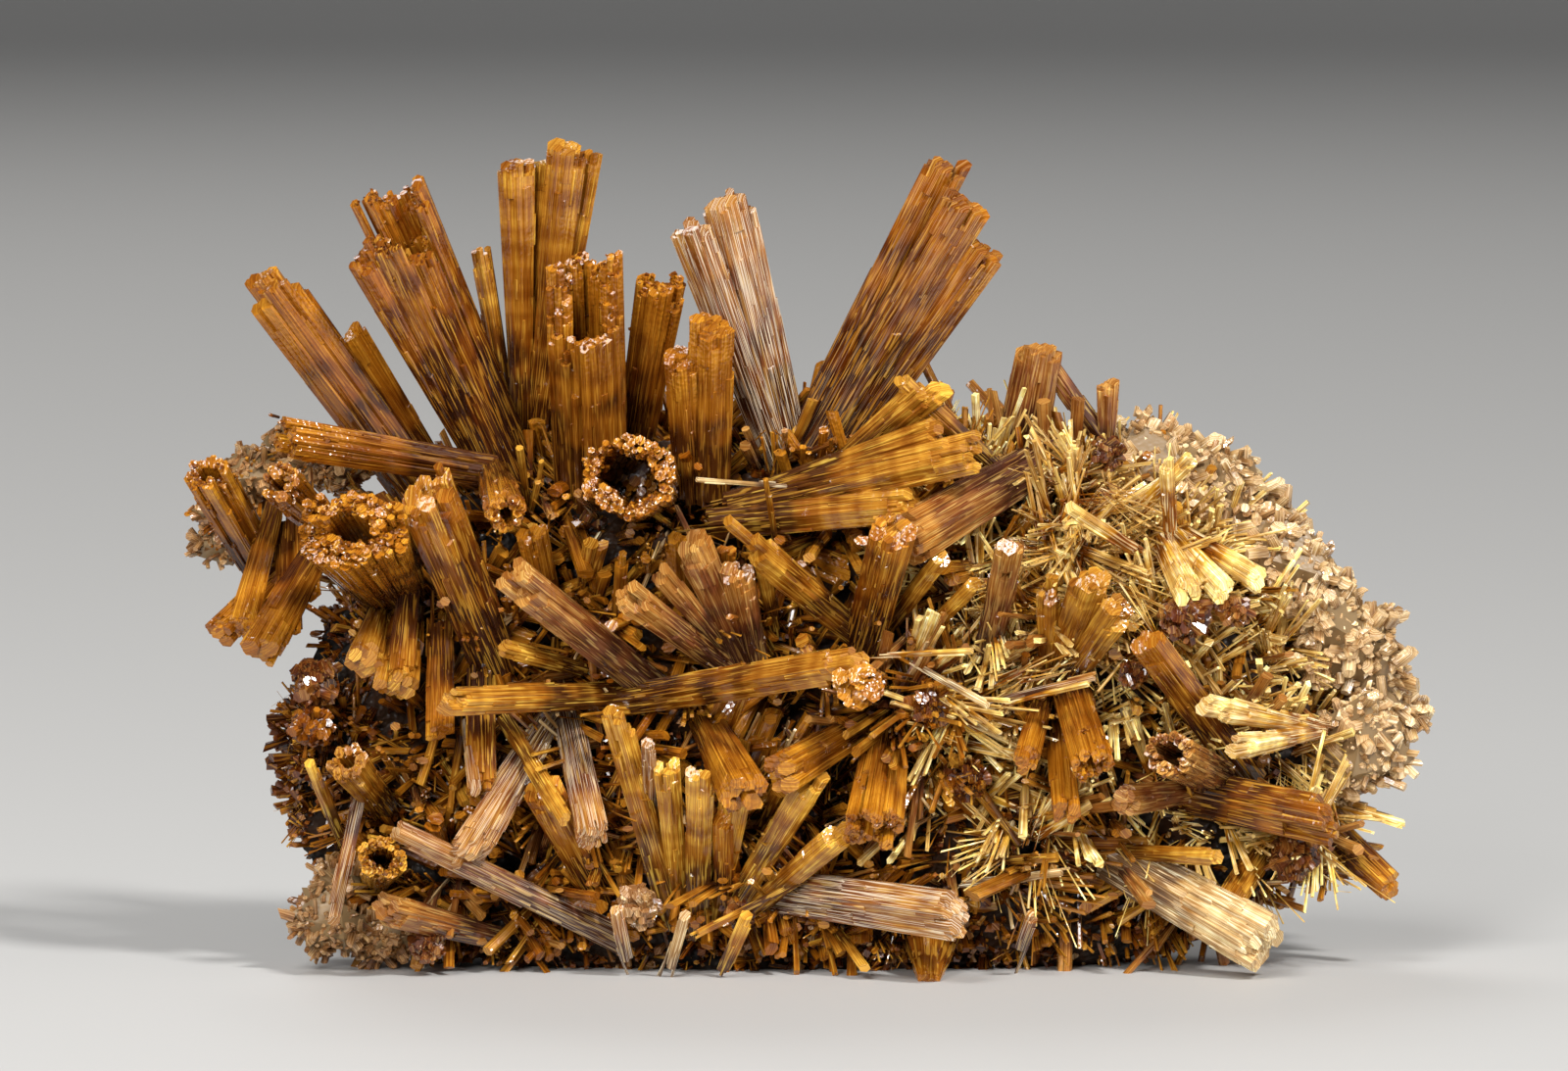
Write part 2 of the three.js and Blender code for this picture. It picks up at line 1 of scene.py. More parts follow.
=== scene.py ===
"""Looks for the vanadinite specimen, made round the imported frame.

Each packed prism is dressed as a bundle of fine parallel prisms with the same axis, width, neck and hollow.
The rock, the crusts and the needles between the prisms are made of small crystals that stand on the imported
solids.
"""

import math

import bpy
import numpy as np
from mathutils import Matrix


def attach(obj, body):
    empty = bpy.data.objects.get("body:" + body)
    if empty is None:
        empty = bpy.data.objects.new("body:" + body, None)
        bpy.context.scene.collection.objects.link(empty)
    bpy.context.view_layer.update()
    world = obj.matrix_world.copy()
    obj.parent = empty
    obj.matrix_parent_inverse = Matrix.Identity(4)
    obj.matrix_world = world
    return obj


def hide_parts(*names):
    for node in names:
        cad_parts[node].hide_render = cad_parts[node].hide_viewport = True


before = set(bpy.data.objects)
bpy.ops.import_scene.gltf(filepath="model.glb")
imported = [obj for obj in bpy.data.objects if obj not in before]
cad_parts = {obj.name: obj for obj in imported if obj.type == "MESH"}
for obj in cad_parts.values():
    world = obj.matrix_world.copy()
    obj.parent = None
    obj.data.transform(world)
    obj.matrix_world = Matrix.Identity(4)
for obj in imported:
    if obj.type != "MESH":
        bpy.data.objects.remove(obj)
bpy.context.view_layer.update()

bl_info = {
    "name": "Vanadinite specimen",
    "version": (1, 0, 0),
    "blender": (4, 5, 0),
    "location": "3D View > Sidebar > Specimen",
    "description": "Makes the crystals, crusts, needles and rock of the specimen round its packed frame",
    "category": "Add Mesh",
}

MM = 0.001

# A prism that doesn't say otherwise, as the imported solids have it. flat is its depth as a share of its width,
# neck the width at the root as a share of the tip's, ribs half the number of clumps that it breaks off in,
# jag the share of its length by which they differ, scoop the share that is missing in front, and hollow the
# share of the width that the bore takes
PLAIN_PRISM = {"flat": 0.88, "neck": 0.66, "ribs": 6, "jag": 0.12, "hollow": 0.0, "scoop": 0.0}
# A bore is this share of the length deep, and at most this many widths
BORE_SHARE = 0.6
BORE_DEPTH = 1.6

# How much lighter than its finish a prism is, and how strong its painted sheen is: silvery streaks painted into
# its colour as highlights
LIGHTER_AND_PAINTED_SHEEN = {
    "great_left_sheaf": (-0.25, 0.0),
    "great_right_sheaf": (-0.22, 0.1),
    "tall_back_sheaf": (-0.2, 0.0),
    "silver_sheaf": (-0.12, 0.75),
    "silver_log": (0.15, 0.8),
    "foot_fan": (0.3, 0.0),
    "long_low_prism": (0.05, 0.3),
    "hanging_slabs": (0.05, 0.5),
    "level_prisms": (-0.05, 0.0),
    "straw_fan": (0.1, 0.0),
    "right_needle_spray": (0.05, 0.4),
    "slender_rosy": (0.1, 0.5),
    "slender_golden": (0.2, 0.0),
}

# The spacing of the fine prisms is finer in hollow prisms and in those under the first width, in millimetres,
# and wider in those over the second
FINER, FINER_BELOW = 0.74, 2
WIDER, WIDER_ABOVE = 1.12, 3.4
# How far the fine prisms stand off their lattice, and their least half width, in spacings
JITTER = 0.2
LEAST_HALF = 0.62
# A bundle's outline is this much of a circle and the rest of a hexagon
CIRCLE = 0.4
# From this share of the outline on, a fine prism counts as an outer one
OUTER = 0.62
# How light the fine prisms are
STEM_TONES = (0.4, 0.95)
# The flakes on a bundle's outside: the share of the outline at which they stand, their length and half width
# in millimetres, and their tones
FLAKE_PLACE = (0.84, 0.95)
FLAKE_LENGTH = (0.5, 3.4)
FLAKE_HALF = (0.05, 0.13)
FLAKE_TONES = (0.5, 1.0)
# The share of the outer fine prisms that start above the root
LATE_SHARE = 0.2
# From prism to prism of a sheaf, the pattern along the crystals is shifted by this many millimetres
ROW_SHIFT = 17
# Fine prisms this many spacings inside a bundle show only at the tip, and are this many millimetres long
HIDDEN_WITHIN = 1.15
HIDDEN_LENGTH = 1.6
# A fine prism is cut in spans of up to this many millimetres, as long thin faces are slow to render
LONGEST_SPAN = 4.0
# The plain prism inside a bundle: its share of the width, and its tone
CORE = 0.95
CORE_TONE = 0.65
# Small blocks at a hollow mouth for each millimetre of the half width. They sit on the fine prisms that end
# within this share of the length from the tip
RIM_BLOCKS = 330
RIM_REACH = 0.4
# The share of these blocks that sit down the wall of the hollow
DOWN_THE_WALL = 0.25
# Their half lengths and half widths in millimetres, and their tones
RIM_HALF_LENGTH = (0.05, 0.14)
RIM_HALF = (0.05, 0.12)
RIM_TONES = (0.1, 0.75)

# Where the crystals stand, in millimetres: root, tip, width across, and what differs from the plain prism
SKYLINE = {
    "great_left_sheaf": ("chestnut", [
        ((-14.6, -1, 24.25), (-20.6, -6, 38.15), 4.6, dict(hollow=0.42, ribs=8, jag=0.2)),
        ((-14.6, -1, 26.25), (-19.9, -5, 39.75), 1.9, dict(neck=0.9, jag=0.05)),
        ((-16.8, -2, 26.25), (-22.3, -6.5, 36.45), 1.9, dict(jag=0.05)),
    ]),
    "tall_back_sheaf": ("golden", [
        ((-14.3, 1, 25.25), (-14.6, -1, 41.05), 2.2, dict(neck=0.5, jag=0.03)),
        ((-14.2, 1.5, 25.25), (-12.9, 0, 40.65), 2.2, dict(neck=0.5, jag=0.08)),
        ((-13.8, 1, 25.25), (-12, -1.5, 41.75), 2.3, dict(neck=0.5, jag=0.05)),
        ((-13.6, 1.5, 25.25), (-10.8, -0.5, 41.55), 1.4, dict(neck=0.7, jag=0.02)),
        ((-14.8, 1.2, 26.25), (-16.5, 0, 36.45), 1.3, dict(jag=0.1)),
    ]),
    "silver_sheaf": ("rosy", [
        ((-0.6, 0, 25.25), (-4.1, -4, 39.25), 2.6, dict(neck=0.8, jag=0.03)),
        ((-1.2, -0.5, 25.25), (-5.5, -5, 37.95), 2, dict(neck=0.8, jag=0.06)),
        ((-1.6, -0.5, 25.25), (-6.4, -4, 37.65), 1, dict(neck=0.8, jag=0.04)),
        ((0, 0, 25.25), (-3, -3, 38.45), 1.6, dict(neck=0.7, jag=0.04)),
    ]),
    "great_right_sheaf": ("chestnut", [
        ((-0.6, 0, 25.25), (7.3, -3, 40.95), 2.5, dict(neck=0.9, jag=0.05)),
        ((0.3, -1, 25.25), (8.2, -5, 38.95), 2.9, dict(neck=0.8, jag=0.06)),
        ((1.2, -1, 25.05), (9.2, -4.5, 36.75), 2.5, dict(neck=0.7, jag=0.05)),
        ((0.4, 0.5, 25.25), (8.2, -1.5, 38.45), 2.4, dict(neck=0.7, jag=0.06)),
    ]),
    "central_hollow_sheath": ("honey", [
        ((-10.8, -1.5, 24.25), (-11.1, -8.5, 35.85), 4.4, dict(hollow=0.5, ribs=9, neck=0.95, scoop=0.3)),
    ]),
    "left_leaning_prisms": ("honey", [
        ((-20, -1, 24.85), (-27.1, -4, 34.85), 3.4, dict(jag=0.2, neck=0.85)),
        ((-18.8, -0.4, 25.25), (-23.3, -2, 32.45), 2.2, dict(jag=0.15)),
    ]),
    "dark_mouthed_tube": ("honey", [
        ((-8.8, 0, 25.45), (-7.2, -4.5, 34.95), 2.9, dict(hollow=0.5, jag=0.1)),
    ]),
    "round_open_tube": ("honey", [
        ((-8.2, -3, 24.65), (-8.8, -13.5, 25.85), 5.2, dict(hollow=0.6, ribs=10, jag=0.04, neck=0.8)),
    ]),
    "middle_upright_prism": ("honey", [
        ((-4.8, -3, 24.25), (-4.6, -7.5, 33.15), 2.6, dict(jag=0.1, neck=0.9)),
        ((-5.8, -3, 24.25), (-6.2, -7, 31.45), 1.9, dict(jag=0.06, neck=0.9)),
    ]),
    "golden_spur": ("golden", [
        ((1.5, -4, 25.45), (6.4, -6.5, 29.75), 2.2, dict(jag=0.2)),
        ((9.4, -5, 26.05), (5, -6.5, 30.15), 1.1, dict(neck=0.95, jag=0.1)),
    ]),
    "peak_blades": ("rosy", [
        ((11, 0, 25.85), (12, -1.5, 31.45), 2.6, dict(flat=0.4, jag=0.1, neck=1.1)),
        ((15.6, 0, 26.25), (12.1, -1.2, 31.25), 1.1, dict(neck=1, jag=0.05)),
        ((15.4, 0, 25.65), (15.5, -1, 29.85), 1.3, dict(jag=0.15)),
    ]),
}
MIDDLE = {
    "golden_sheaf": ("golden", [
        ((-3.6, -5, 23.65), (8.2, -9, 26.65), 2.4, dict(neck=0.8, jag=0.16)),
        ((-1.5, -5, 24.65), (6.6, -8, 27.55), 2, dict(jag=0.12)),
        ((-4.6, -5, 22.85), (5.4, -8.5, 24.05), 2, dict(neck=0.9, jag=0.1)),
    ]),
    "bent_prism_lower": ("chestnut", [
        ((3, -5, 16.65), (4.5, -11.5, 23.05), 2.6, dict(jag=0.06, neck=0.85)),
    ]),
    "bent_prism_upper": ("rosy", [
        ((11.4, -4.5, 25.65), (5, -9.5, 22.25), 3.1, dict(jag=0.05, neck=0.8)),
    ]),
    "right_diagonal_sheaf": ("golden", [((3.4, -5, 16.65), (-3.1, -10, 22.45), 2.1, dict(jag=0.25))]),
    "level_prisms": ("golden", [
        ((-9.8, -5, 13.75), (2.3, -11.5, 16.25), 2.2, dict(neck=0.8, jag=0.1)),
        ((-9.4, -5, 14.15), (-17.9, -11.5, 14.35), 1.7, dict(neck=0.9, jag=0.06)),
    ]),
    "long_diagonal_prism": ("rosy", [
        ((-7.8, -5, 14.65), (-14.6, -11.5, 20.65), 2.2, dict(neck=0.9, jag=0.14)),
    ]),
    "centre_fan": ("rosy", [
        ((-3.6, -5, 15.25), (-8.5, -10.5, 19.35), 1.9, dict(jag=0.2)),
        ((-3.4, -5, 15.85), (-7.1, -10, 20.55), 1.3, dict(jag=0.2)),
        ((-3, -5, 15.85), (-5.6, -9.5, 22.05), 2.3, dict(jag=0.12)),
        ((-2.4, -5, 15.85), (-3.4, -9, 20.65), 2, dict(jag=0.12)),
    ]),
    "orange_knob": ("honey", [((3.4, -5, 14.65), (2.7, -12.5, 15.25), 2.9, dict(ribs=8, jag=0.1))]),
    "hanging_prism_left": ("honey", [((-5, -5, 12.85), (-3, -10.5, 9.55), 3, dict(jag=0.1))]),
    "hanging_prism_middle": ("honey", [((3.4, -5, 12.85), (-1.2, -10.5, 10.65), 2.5, dict(jag=0.12))]),
    "hanging_prism_right": ("honey", [
        ((4.4, -4.5, 13.05), (3.5, -10.5, 7.85), 3.4, dict(hollow=0.45, ribs=8, jag=0.12)),
    ]),
}
LEFT = {
    "ragged_hollow": ("honey", [
        ((-20.9, -2.5, 19.25), (-22.7, -12, 23.05), 6.4, dict(flat=0.72, hollow=0.4, ribs=11, neck=0.6)),
    ]),
    "dark_front_sheaf": ("chestnut", [
        ((-15.6, -4, 15.65), (-19.1, -11, 25.15), 3.5, dict(ribs=8, jag=0.16, neck=0.8)),
    ]),
    "left_edge_tube": ("honey", [
        ((-27.4, 0.5, 19.75), (-30.2, -6, 25.55), 2.8, dict(hollow=0.5, jag=0.08, neck=0.8)),
    ]),
    "left_level_prisms": ("honey", [
        ((-16, -3.5, 25.45), (-26, -7.5, 27.35), 2.3, dict(hollow=0.4, jag=0.1, neck=0.8)),
        ((-15.8, -3.5, 25.45), (-15, -9.5, 23.65), 2.5, dict(hollow=0.45, jag=0.12)),
    ]),
    "left_cross_prism": ("honey", [
        ((-24.4, -3, 22.65), (-26.4, -9.5, 25.25), 2.5, dict(hollow=0.45, jag=0.1)),
    ]),
    "left_hanging_prisms": ("honey", [
        ((-25.6, -2, 21.25), (-29.6, -5, 17.25), 1.9, dict(jag=0.06)),
        ((-24.8, -2.5, 21.25), (-27.6, -6, 16.35), 2.7, dict(jag=0.08)),
    ]),
    "left_under_prisms": ("golden", [
        ((-21.6, -4, 18.05), (-22.2, -7.5, 16.05), 2.2, dict(jag=0.1)),
        ((-20, -4, 18.45), (-20.6, -7.5, 14.85), 2.6, dict(jag=0.2)),
    ]),
    "lower_left_tube_high": ("golden", [
        ((-21.4, -4, 8.45), (-23.1, -9.5, 11.25), 2.4, dict(hollow=0.5, jag=0.06)),
    ]),
    "lower_left_tube_low": ("golden", [
        ((-21.6, -4, 4.85), (-21.2, -11, 6.45), 2.8, dict(hollow=0.5, ribs=8, jag=0.05)),
    ]),
}
FOOT = {
    "hanging_slabs": ("rosy", [
        ((-12.8, -4, 13.05), (-16.9, -10, 6.45), 2.4, dict(jag=0.12, neck=0.6)),
        ((-12, -4, 13.05), (-10.6, -9.5, 7.25), 1.9, dict(jag=0.05, neck=0.85)),
    ]),
    "foot_fan": ("golden", [
        ((-6.6, -4.6, 2.4), (-9.3, -9, 12.85), 1.7, dict(jag=0.25, neck=0.8)),
        ((-6.2, -4, 2.05), (-6.9, -9, 10.65), 1.5, dict(jag=0.1)),
        ((-5.4, -4.5, 2.05), (-5.2, -10, 10.45), 1.7, dict(jag=0.1)),
        ((-4.6, -4, 2.25), (-3.4, -8.5, 9.65), 1.8, dict(jag=0.1)),
        ((-4, -4.6, 2.6), (0.5, -9, 10.25), 1.8, dict(jag=0.1)),
        ((-3.6, -4, 2.25), (1.8, -9.5, 7.45), 1.6, dict(jag=0.1)),
    ]),
    "dark_slanted_prism": ("chestnut", [((-9.6, -3, 2.25), (-13.2, -8, 9.65), 2.3, dict(jag=0.1))]),
    "long_low_prism": ("rosy", [
        ((-9.4, -4.5, 1.65), (-20.4, -10.5, 7.65), 1.3, dict(jag=0.05, neck=1.2)),
    ]),
    "silver_log": ("rosy", [((-2.4, -4, 4.25), (7.8, -12, 3.55), 2.8, dict(jag=0.05, neck=0.85))]),
    "front_tooth": ("chestnut", [
        ((6.5, -2, 3.15), (6.3, -9.6, -0.05), 1.2, dict(neck=3.4, flat=0.7, jag=0)),
    ]),
    "low_pink_prism": ("rosy", [((-15.4, -4, 1.65), (-21, -9.5, 3.65), 1.9, dict(jag=0.1))]),
}
RIGHT = {
    "banded_right_prism": ("rosy", [
        ((9.2, -4.5, 15.65), (10.3, -11, 21.85), 1.8, dict(jag=0.2, neck=0.8)),
    ]),
    "golden_block_fan": ("golden", [
        ((12.6, -4.5, 14.45), (14.5, -10.5, 20.45), 2.4, dict(jag=0.12)),
        ((12.8, -4.5, 14.05), (15.8, -10, 18.85), 2, dict(jag=0.12)),
        ((12.4, -4.5, 14.45), (12.4, -9.5, 20.05), 1.6, dict(jag=0.2)),
    ]),
    "hanging_trio": ("honey", [
        ((13.2, -4, 15.45), (14.6, -11, 11.05), 2.5, dict(hollow=0.42, jag=0.08, neck=0.8)),
        ((12.8, -4, 14.45), (13.2, -10, 8.45), 1.7, dict(jag=0.06, neck=0.8)),
        ((12.4, -4, 14.85), (11.1, -10, 11.05), 1.6, dict(jag=0.1, neck=0.8)),
    ]),
    "white_rimmed_tube": ("rosy", [
        ((21, -3.5, 9.85), (18.3, -11.5, 11.75), 2.8, dict(hollow=0.56, ribs=8, jag=0.05, neck=0.9)),
        ((20.4, -3.5, 9.25), (16, -9.5, 9.15), 1.8, dict(jag=0.15)),
    ]),
    "right_brown_diagonal": ("chestnut", [
        ((22.6, -3, 9.85), (17.3, -10.5, 17.25), 2, dict(jag=0.08, neck=0.95)),
    ]),
    "frayed_sheaf": ("chestnut", [((17.6, -3, 9.45), (26.2, -7.5, 8.05), 2.8, dict(jag=0.22, neck=0.9))]),
    "straw_fan": ("straw", [
        ((18, -3.5, 22.25), (19.4, -9, 19.65), 1.8, dict(flat=0.6, jag=0.1)),
        ((18.6, -3.5, 22.25), (21.2, -8.5, 19.65), 1.6, dict(flat=0.6, jag=0.1)),
        ((19, -3.5, 22.45), (23, -8, 20.25), 1.4, dict(flat=0.6, jag=0.1)),
    ]),
    "right_needle_spray": ("straw", [
        ((26.4, -2.5, 12.25), (20.6, -9, 13.85), 1.7, dict(flat=0.5, neck=0.4, jag=0.2)),
        ((26.4, -2.5, 12.05), (21.8, -9, 11.85), 1.6, dict(flat=0.5, neck=0.4, jag=0.2)),
    ]),
    "slanted_banded_prism": ("golden", [
        ((24.2, -2, 7.25), (20.8, -7, 2.65), 1.7, dict(jag=0.05, neck=0.9)),
    ]),
    "cream_foot_prism": ("cream", [
        ((15.6, -3.5, 5.75), (23.3, -8.5, 1.85), 3.5, dict(ribs=8, jag=0.08, neck=0.8)),
    ]),
    "rust_spur": ("chestnut", [((26.4, 0, 7.25), (30, -2.5, 4.05), 1.7, dict(jag=0.1, neck=1.2))]),
}
BACK = {
    "back_left_sheaf": ("chestnut", [((-17, 4, 16.25), (-22, 12.5, 22.25), 4.4, dict(ribs=8, jag=0.15))]),
    "back_middle_tube": ("honey", [
        ((-5, 5, 16.25), (-7.5, 13.5, 19.75), 4, dict(hollow=0.5, ribs=8, jag=0.1, neck=0.8)),
    ]),
    "back_right_sheaf": ("honey", [((8, 5, 15.25), (13, 12.5, 22.25), 3.8, dict(ribs=8, jag=0.15))]),
    "back_low_prism": ("rosy", [((2, 5, 7.25), (8, 12, 7.75), 3.2, dict(jag=0.12))]),
}

# Slender prisms that stand on the rock between the greater ones: root, tip and width across, in millimetres
SLENDER_SHAPE = {"jag": 0.1, "neck": 0.85}
SLENDER = {
    "rosy": [
        ((-22.45, -6, 9.35), (-23.8, -9, 3.1), 0.8),
        ((-17.1, -6, 12.9), (-16.55, -9, 9.5), 0.7),
        ((-7.75, -5, 6.6), (-7.85, -10, 12.1), 0.85),
        ((10.0, -8, 14.2), (15.25, -11, 15.7), 0.45),
        ((11.0, -7, 1.5), (11.6, -9, 3.5), 0.8),
        ((-9.0, -7, 1.0), (-9.5, -8.5, 3.6), 0.9),
    ],
    "golden": [
        ((-23.6, -4.5, 7.05), (-24.95, -7.5, 11.0), 0.7),
        ((-15.15, -6, 13.0), (-11.9, -9.5, 8.1), 1.0),
        ((-11.35, -5.5, 15.5), (-15.15, -9.5, 16.9), 1.05),
        ((-1.4, -6, 21.65), (-2.0, -10, 25.95), 0.35),
        ((4.25, -5, 17.6), (6.9, -9, 21.4), 1.1),
        ((5.75, -5, 16.85), (8.5, -9, 19.9), 0.9),
        ((-1.5, -5, 17.6), (-2.1, -8.5, 21.1), 0.9),
        ((8.25, -5.5, 5.65), (13.5, -8, 6.2), 0.6),
        ((16.0, -4.5, 6.15), (20.8, -8, 6.2), 1.0),
        ((-1.0, -7.5, 4.5), (-6.0, -9.5, 2.15), 0.45),
        ((-4.0, -7.5, 0.5), (-2.75, -9, 3.4), 0.8),
    ],
    "chestnut": [
        ((-4.0, -4.5, 2.8), (-4.1, -8.5, 8.1), 1.2),
        ((-16.4, -5, 15.1), (-16.3, -8, 9.5), 1.8),
        ((-20.0, -5, 19.6), (-20.4, -7.5, 15.3), 1.5),
        ((-4.25, -5, 17.6), (-3.9, -8, 21.8), 1.2),
    ],
    "honey": [
        ((-9.45, -5, 17.6), (-9.15, -8.5, 21.55), 0.85),
        ((-12.9, -4.5, 18.45), (-13.7, -8, 22.55), 1.8),
        ((-18.4, -5.5, 17.65), (-18.4, -8.5, 12.25), 1.7),
        ((-6.0, -5, 17.6), (-6.5, -8, 22.4), 1.3),
    ],
    "straw": [
        ((10.2, -8, 14.0), (14.9, -11, 15.35), 0.4),
        ((4.25, -8, 16.4), (9.1, -11, 16.9), 0.4),
        ((16.5, -8, 21.8), (13.25, -10.5, 24.0), 0.8),
        ((17.0, -6, 23.65), (19.5, -9, 26.4), 1.0),
        ((18.5, -6.5, 22.7), (18.25, -9, 26.5), 0.9),
    ],
    "cream": [
        ((6.25, -8.5, 15.65), (9.4, -11, 14.0), 0.35),
        ((-0.9, -8, 24.95), (-6.0, -12, 25.6), 0.3),
        ((8.1, -5.5, 4.55), (13.75, -8, 5.5), 0.5),
        ((-6.7, -7.5, 0.7), (-6.0, -9, 3.4), 0.7),
    ],
}
# Prisms that stand with a packed one and are made in its bundle
WITH_THE_PACKED = {
    "left_hanging_prisms": [
        ((-26.9, -2.4, 23.4), (-28.4, -5.4, 17.6), 1.7, dict(jag=0.08)),
        ((-26.2, -1.8, 22.6), (-26.2, -4.6, 17.4), 1.9, dict(jag=0.1)),
        ((-25.6, -1.0, 24.0), (-25.4, -3.6, 19.0), 2.0, dict(jag=0.1)),
    ],
}


def stream(name, number=0):
    """Chance numbers that repeat: a stream for each name, so no piece depends on what is made before it."""
    return np.random.default_rng([number, *name.encode()])


def unit(vectors):
    return vectors / np.linalg.norm(vectors, axis=-1, keepdims=True)


def any_side(axes):
    """A direction square to each axis: the axis crossed with up, or with +X where it is nearly upright."""
    upright = np.abs(axes[:, 2:]) > 0.9
    helper = np.where(upright, [[1.0, 0.0, 0.0]], [[0.0, 0.0, 1.0]])
    return unit(np.cross(axes, helper))


class Pile:
    """Points, faces and point values that gather into one mesh. Lengths are in millimetres.

    along runs from 0 at a crystal's root to 1 at its tip, grow is the millimetres along it, wrap the
    millimetres round it and back, tone is how light a fine crystal is, and the last value how strong its
    silvery sheen is, streaks painted into the colour as highlights.
    """

    def __init__(self):
        self.points = []
        self.faces = []
        self.values = {"along": [], "grow": [], "wrap": [], "tone": [], "silver": []}
        self.silver = 0.0
        self.count = 0

    def add(self, points, faces, along, grow, wrap, tone):
        self.points.append(points.reshape(-1, 3))
        self.faces.extend(face + self.count for face in faces)
        values = {"along": along, "grow": grow, "wrap": wrap, "tone": tone, "silver": self.silver}
        for key, value in values.items():
            self.values[key].append(np.broadcast_to(value, points.shape[:-1]).ravel())
        self.count += self.points[-1].shape[0]

    def piece(self, name, slot, replaces=(), smooth=False):
        """The gathered mesh as an object that rides on the specimen and stands for the named nodes."""
        points = np.concatenate(self.points) * MM
        points[:, 2] = np.maximum(points[:, 2], 0)
        loops = np.concatenate([face.ravel() for face in self.faces])
        sides = np.concatenate([np.full(len(face), face.shape[1]) for face in self.faces])
        mesh = bpy.data.meshes.new(name)
        mesh.vertices.add(len(points))
        mesh.vertices.foreach_set("co", points.ravel())
        mesh.loops.add(len(loops))
        mesh.loops.foreach_set("vertex_index", loops)
        mesh.polygons.add(len(sides))
        mesh.polygons.foreach_set("loop_start", np.concatenate([[0], np.cumsum(sides)[:-1]]))
        mesh.polygons.foreach_set("use_smooth", np.full(len(sides), smooth))
        mesh.update(calc_edges=True)
        for key, parts in self.values.items():
            layer = mesh.attributes.new(key, "FLOAT", "POINT")
            layer.data.foreach_set("value", np.concatenate(parts).astype(np.float32))
        mesh.materials.append(finish_material(slot))
        piece = bpy.data.objects.new(name, mesh)
        bpy.context.scene.collection.objects.link(piece)
        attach(piece, "root")
        if replaces:
            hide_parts(*replaces)
        return piece


# Which way a broken end slopes, as a multiple of the crystal's own turn
SLOPE_TURN = 2.4


def add_rods(pile, start, end, half, side, tone, **look):
    """Straight crystals, all worked out at once. Corner k of a ring stands at the ring's middle, plus the
    half width times the cosine of its angle along side, plus half width times thin times its sine along
    front. The last ring is shifted along the axis by the slope of the broken end. The rings stand evenly
    from start to end, and each crystal is closed by a flat face at both.
    """
    corners = look.get("corners", 6)
    spans = look.get("spans", 1)
    axis = unit(end - start)
    front = np.cross(side, axis)
    turn = np.broadcast_to(look.get("turn", 0.0), half.shape)
    angle = turn[:, None] + np.arange(corners) * (2 * math.pi / corners)
    thin = np.broadcast_to(look.get("thin", 1.0), half.shape)[:, None, None]
    ring = np.cos(angle)[..., None] * side[:, None] + np.sin(angle)[..., None] * front[:, None] * thin
    share = np.linspace(0, 1, spans + 1)
    foot, tip = [np.broadcast_to(look.get(key, 1.0), half.shape)[:, None] for key in ("foot", "tip")]
    widths = half[:, None] * (foot * (1 - share) + tip * share)
    middle = start[:, None] + share[:, None] * (end - start)[:, None]
    points = middle[:, :, None] + widths[:, :, None, None] * ring[:, None]
    slope = np.broadcast_to(look.get("slope", 0.0), half.shape)
    lean = np.cos(angle + SLOPE_TURN * angle[:, :1])
    points[:, -1] += (slope * half)[:, None, None] * lean[..., None] * axis[:, None]

    first = (np.arange(len(half))[:, None] * (spans + 1) + np.arange(spans))[..., None] * corners
    here = first + np.arange(corners)
    beside = first + (np.arange(corners) + 1) % corners
    walls = np.stack([here, here + corners, beside + corners, beside], axis=-1).reshape(-1, 4)
    caps = np.concatenate([here[:, 0], here[:, -1, ::-1] + corners])
    lengths = np.linalg.norm(end - start, axis=1)
    along, grow = [
        (ends[..., :1] * (1 - share) + ends[..., 1:] * share)[:, :, None]
        for ends in (
            np.broadcast_to(look.get("along", np.array([0.0, 1.0])), (len(half), 2)),
            look.get("grow", np.stack([np.zeros(len(half)), lengths], axis=1)),
        )
    ]
    wrap = np.abs((np.arange(corners) + corners / 2) % corners - corners / 2) * half[:, None, None]
    pile.add(points, [walls, caps], along, grow, wrap, tone[:, None, None])


def outline_at(bearing, half):
    """How far a bundle reaches at each bearing: a share of a circle and the rest of a hexagon, which reaches
    the cosine of 30 degrees over the cosine of the angle from the middle of its nearest side."""
    hexagon = math.cos(math.pi / 6) / np.cos(bearing % (math.pi / 3) - math.pi / 6)
    return half * (CIRCLE + (1 - CIRCLE) * hexagon)


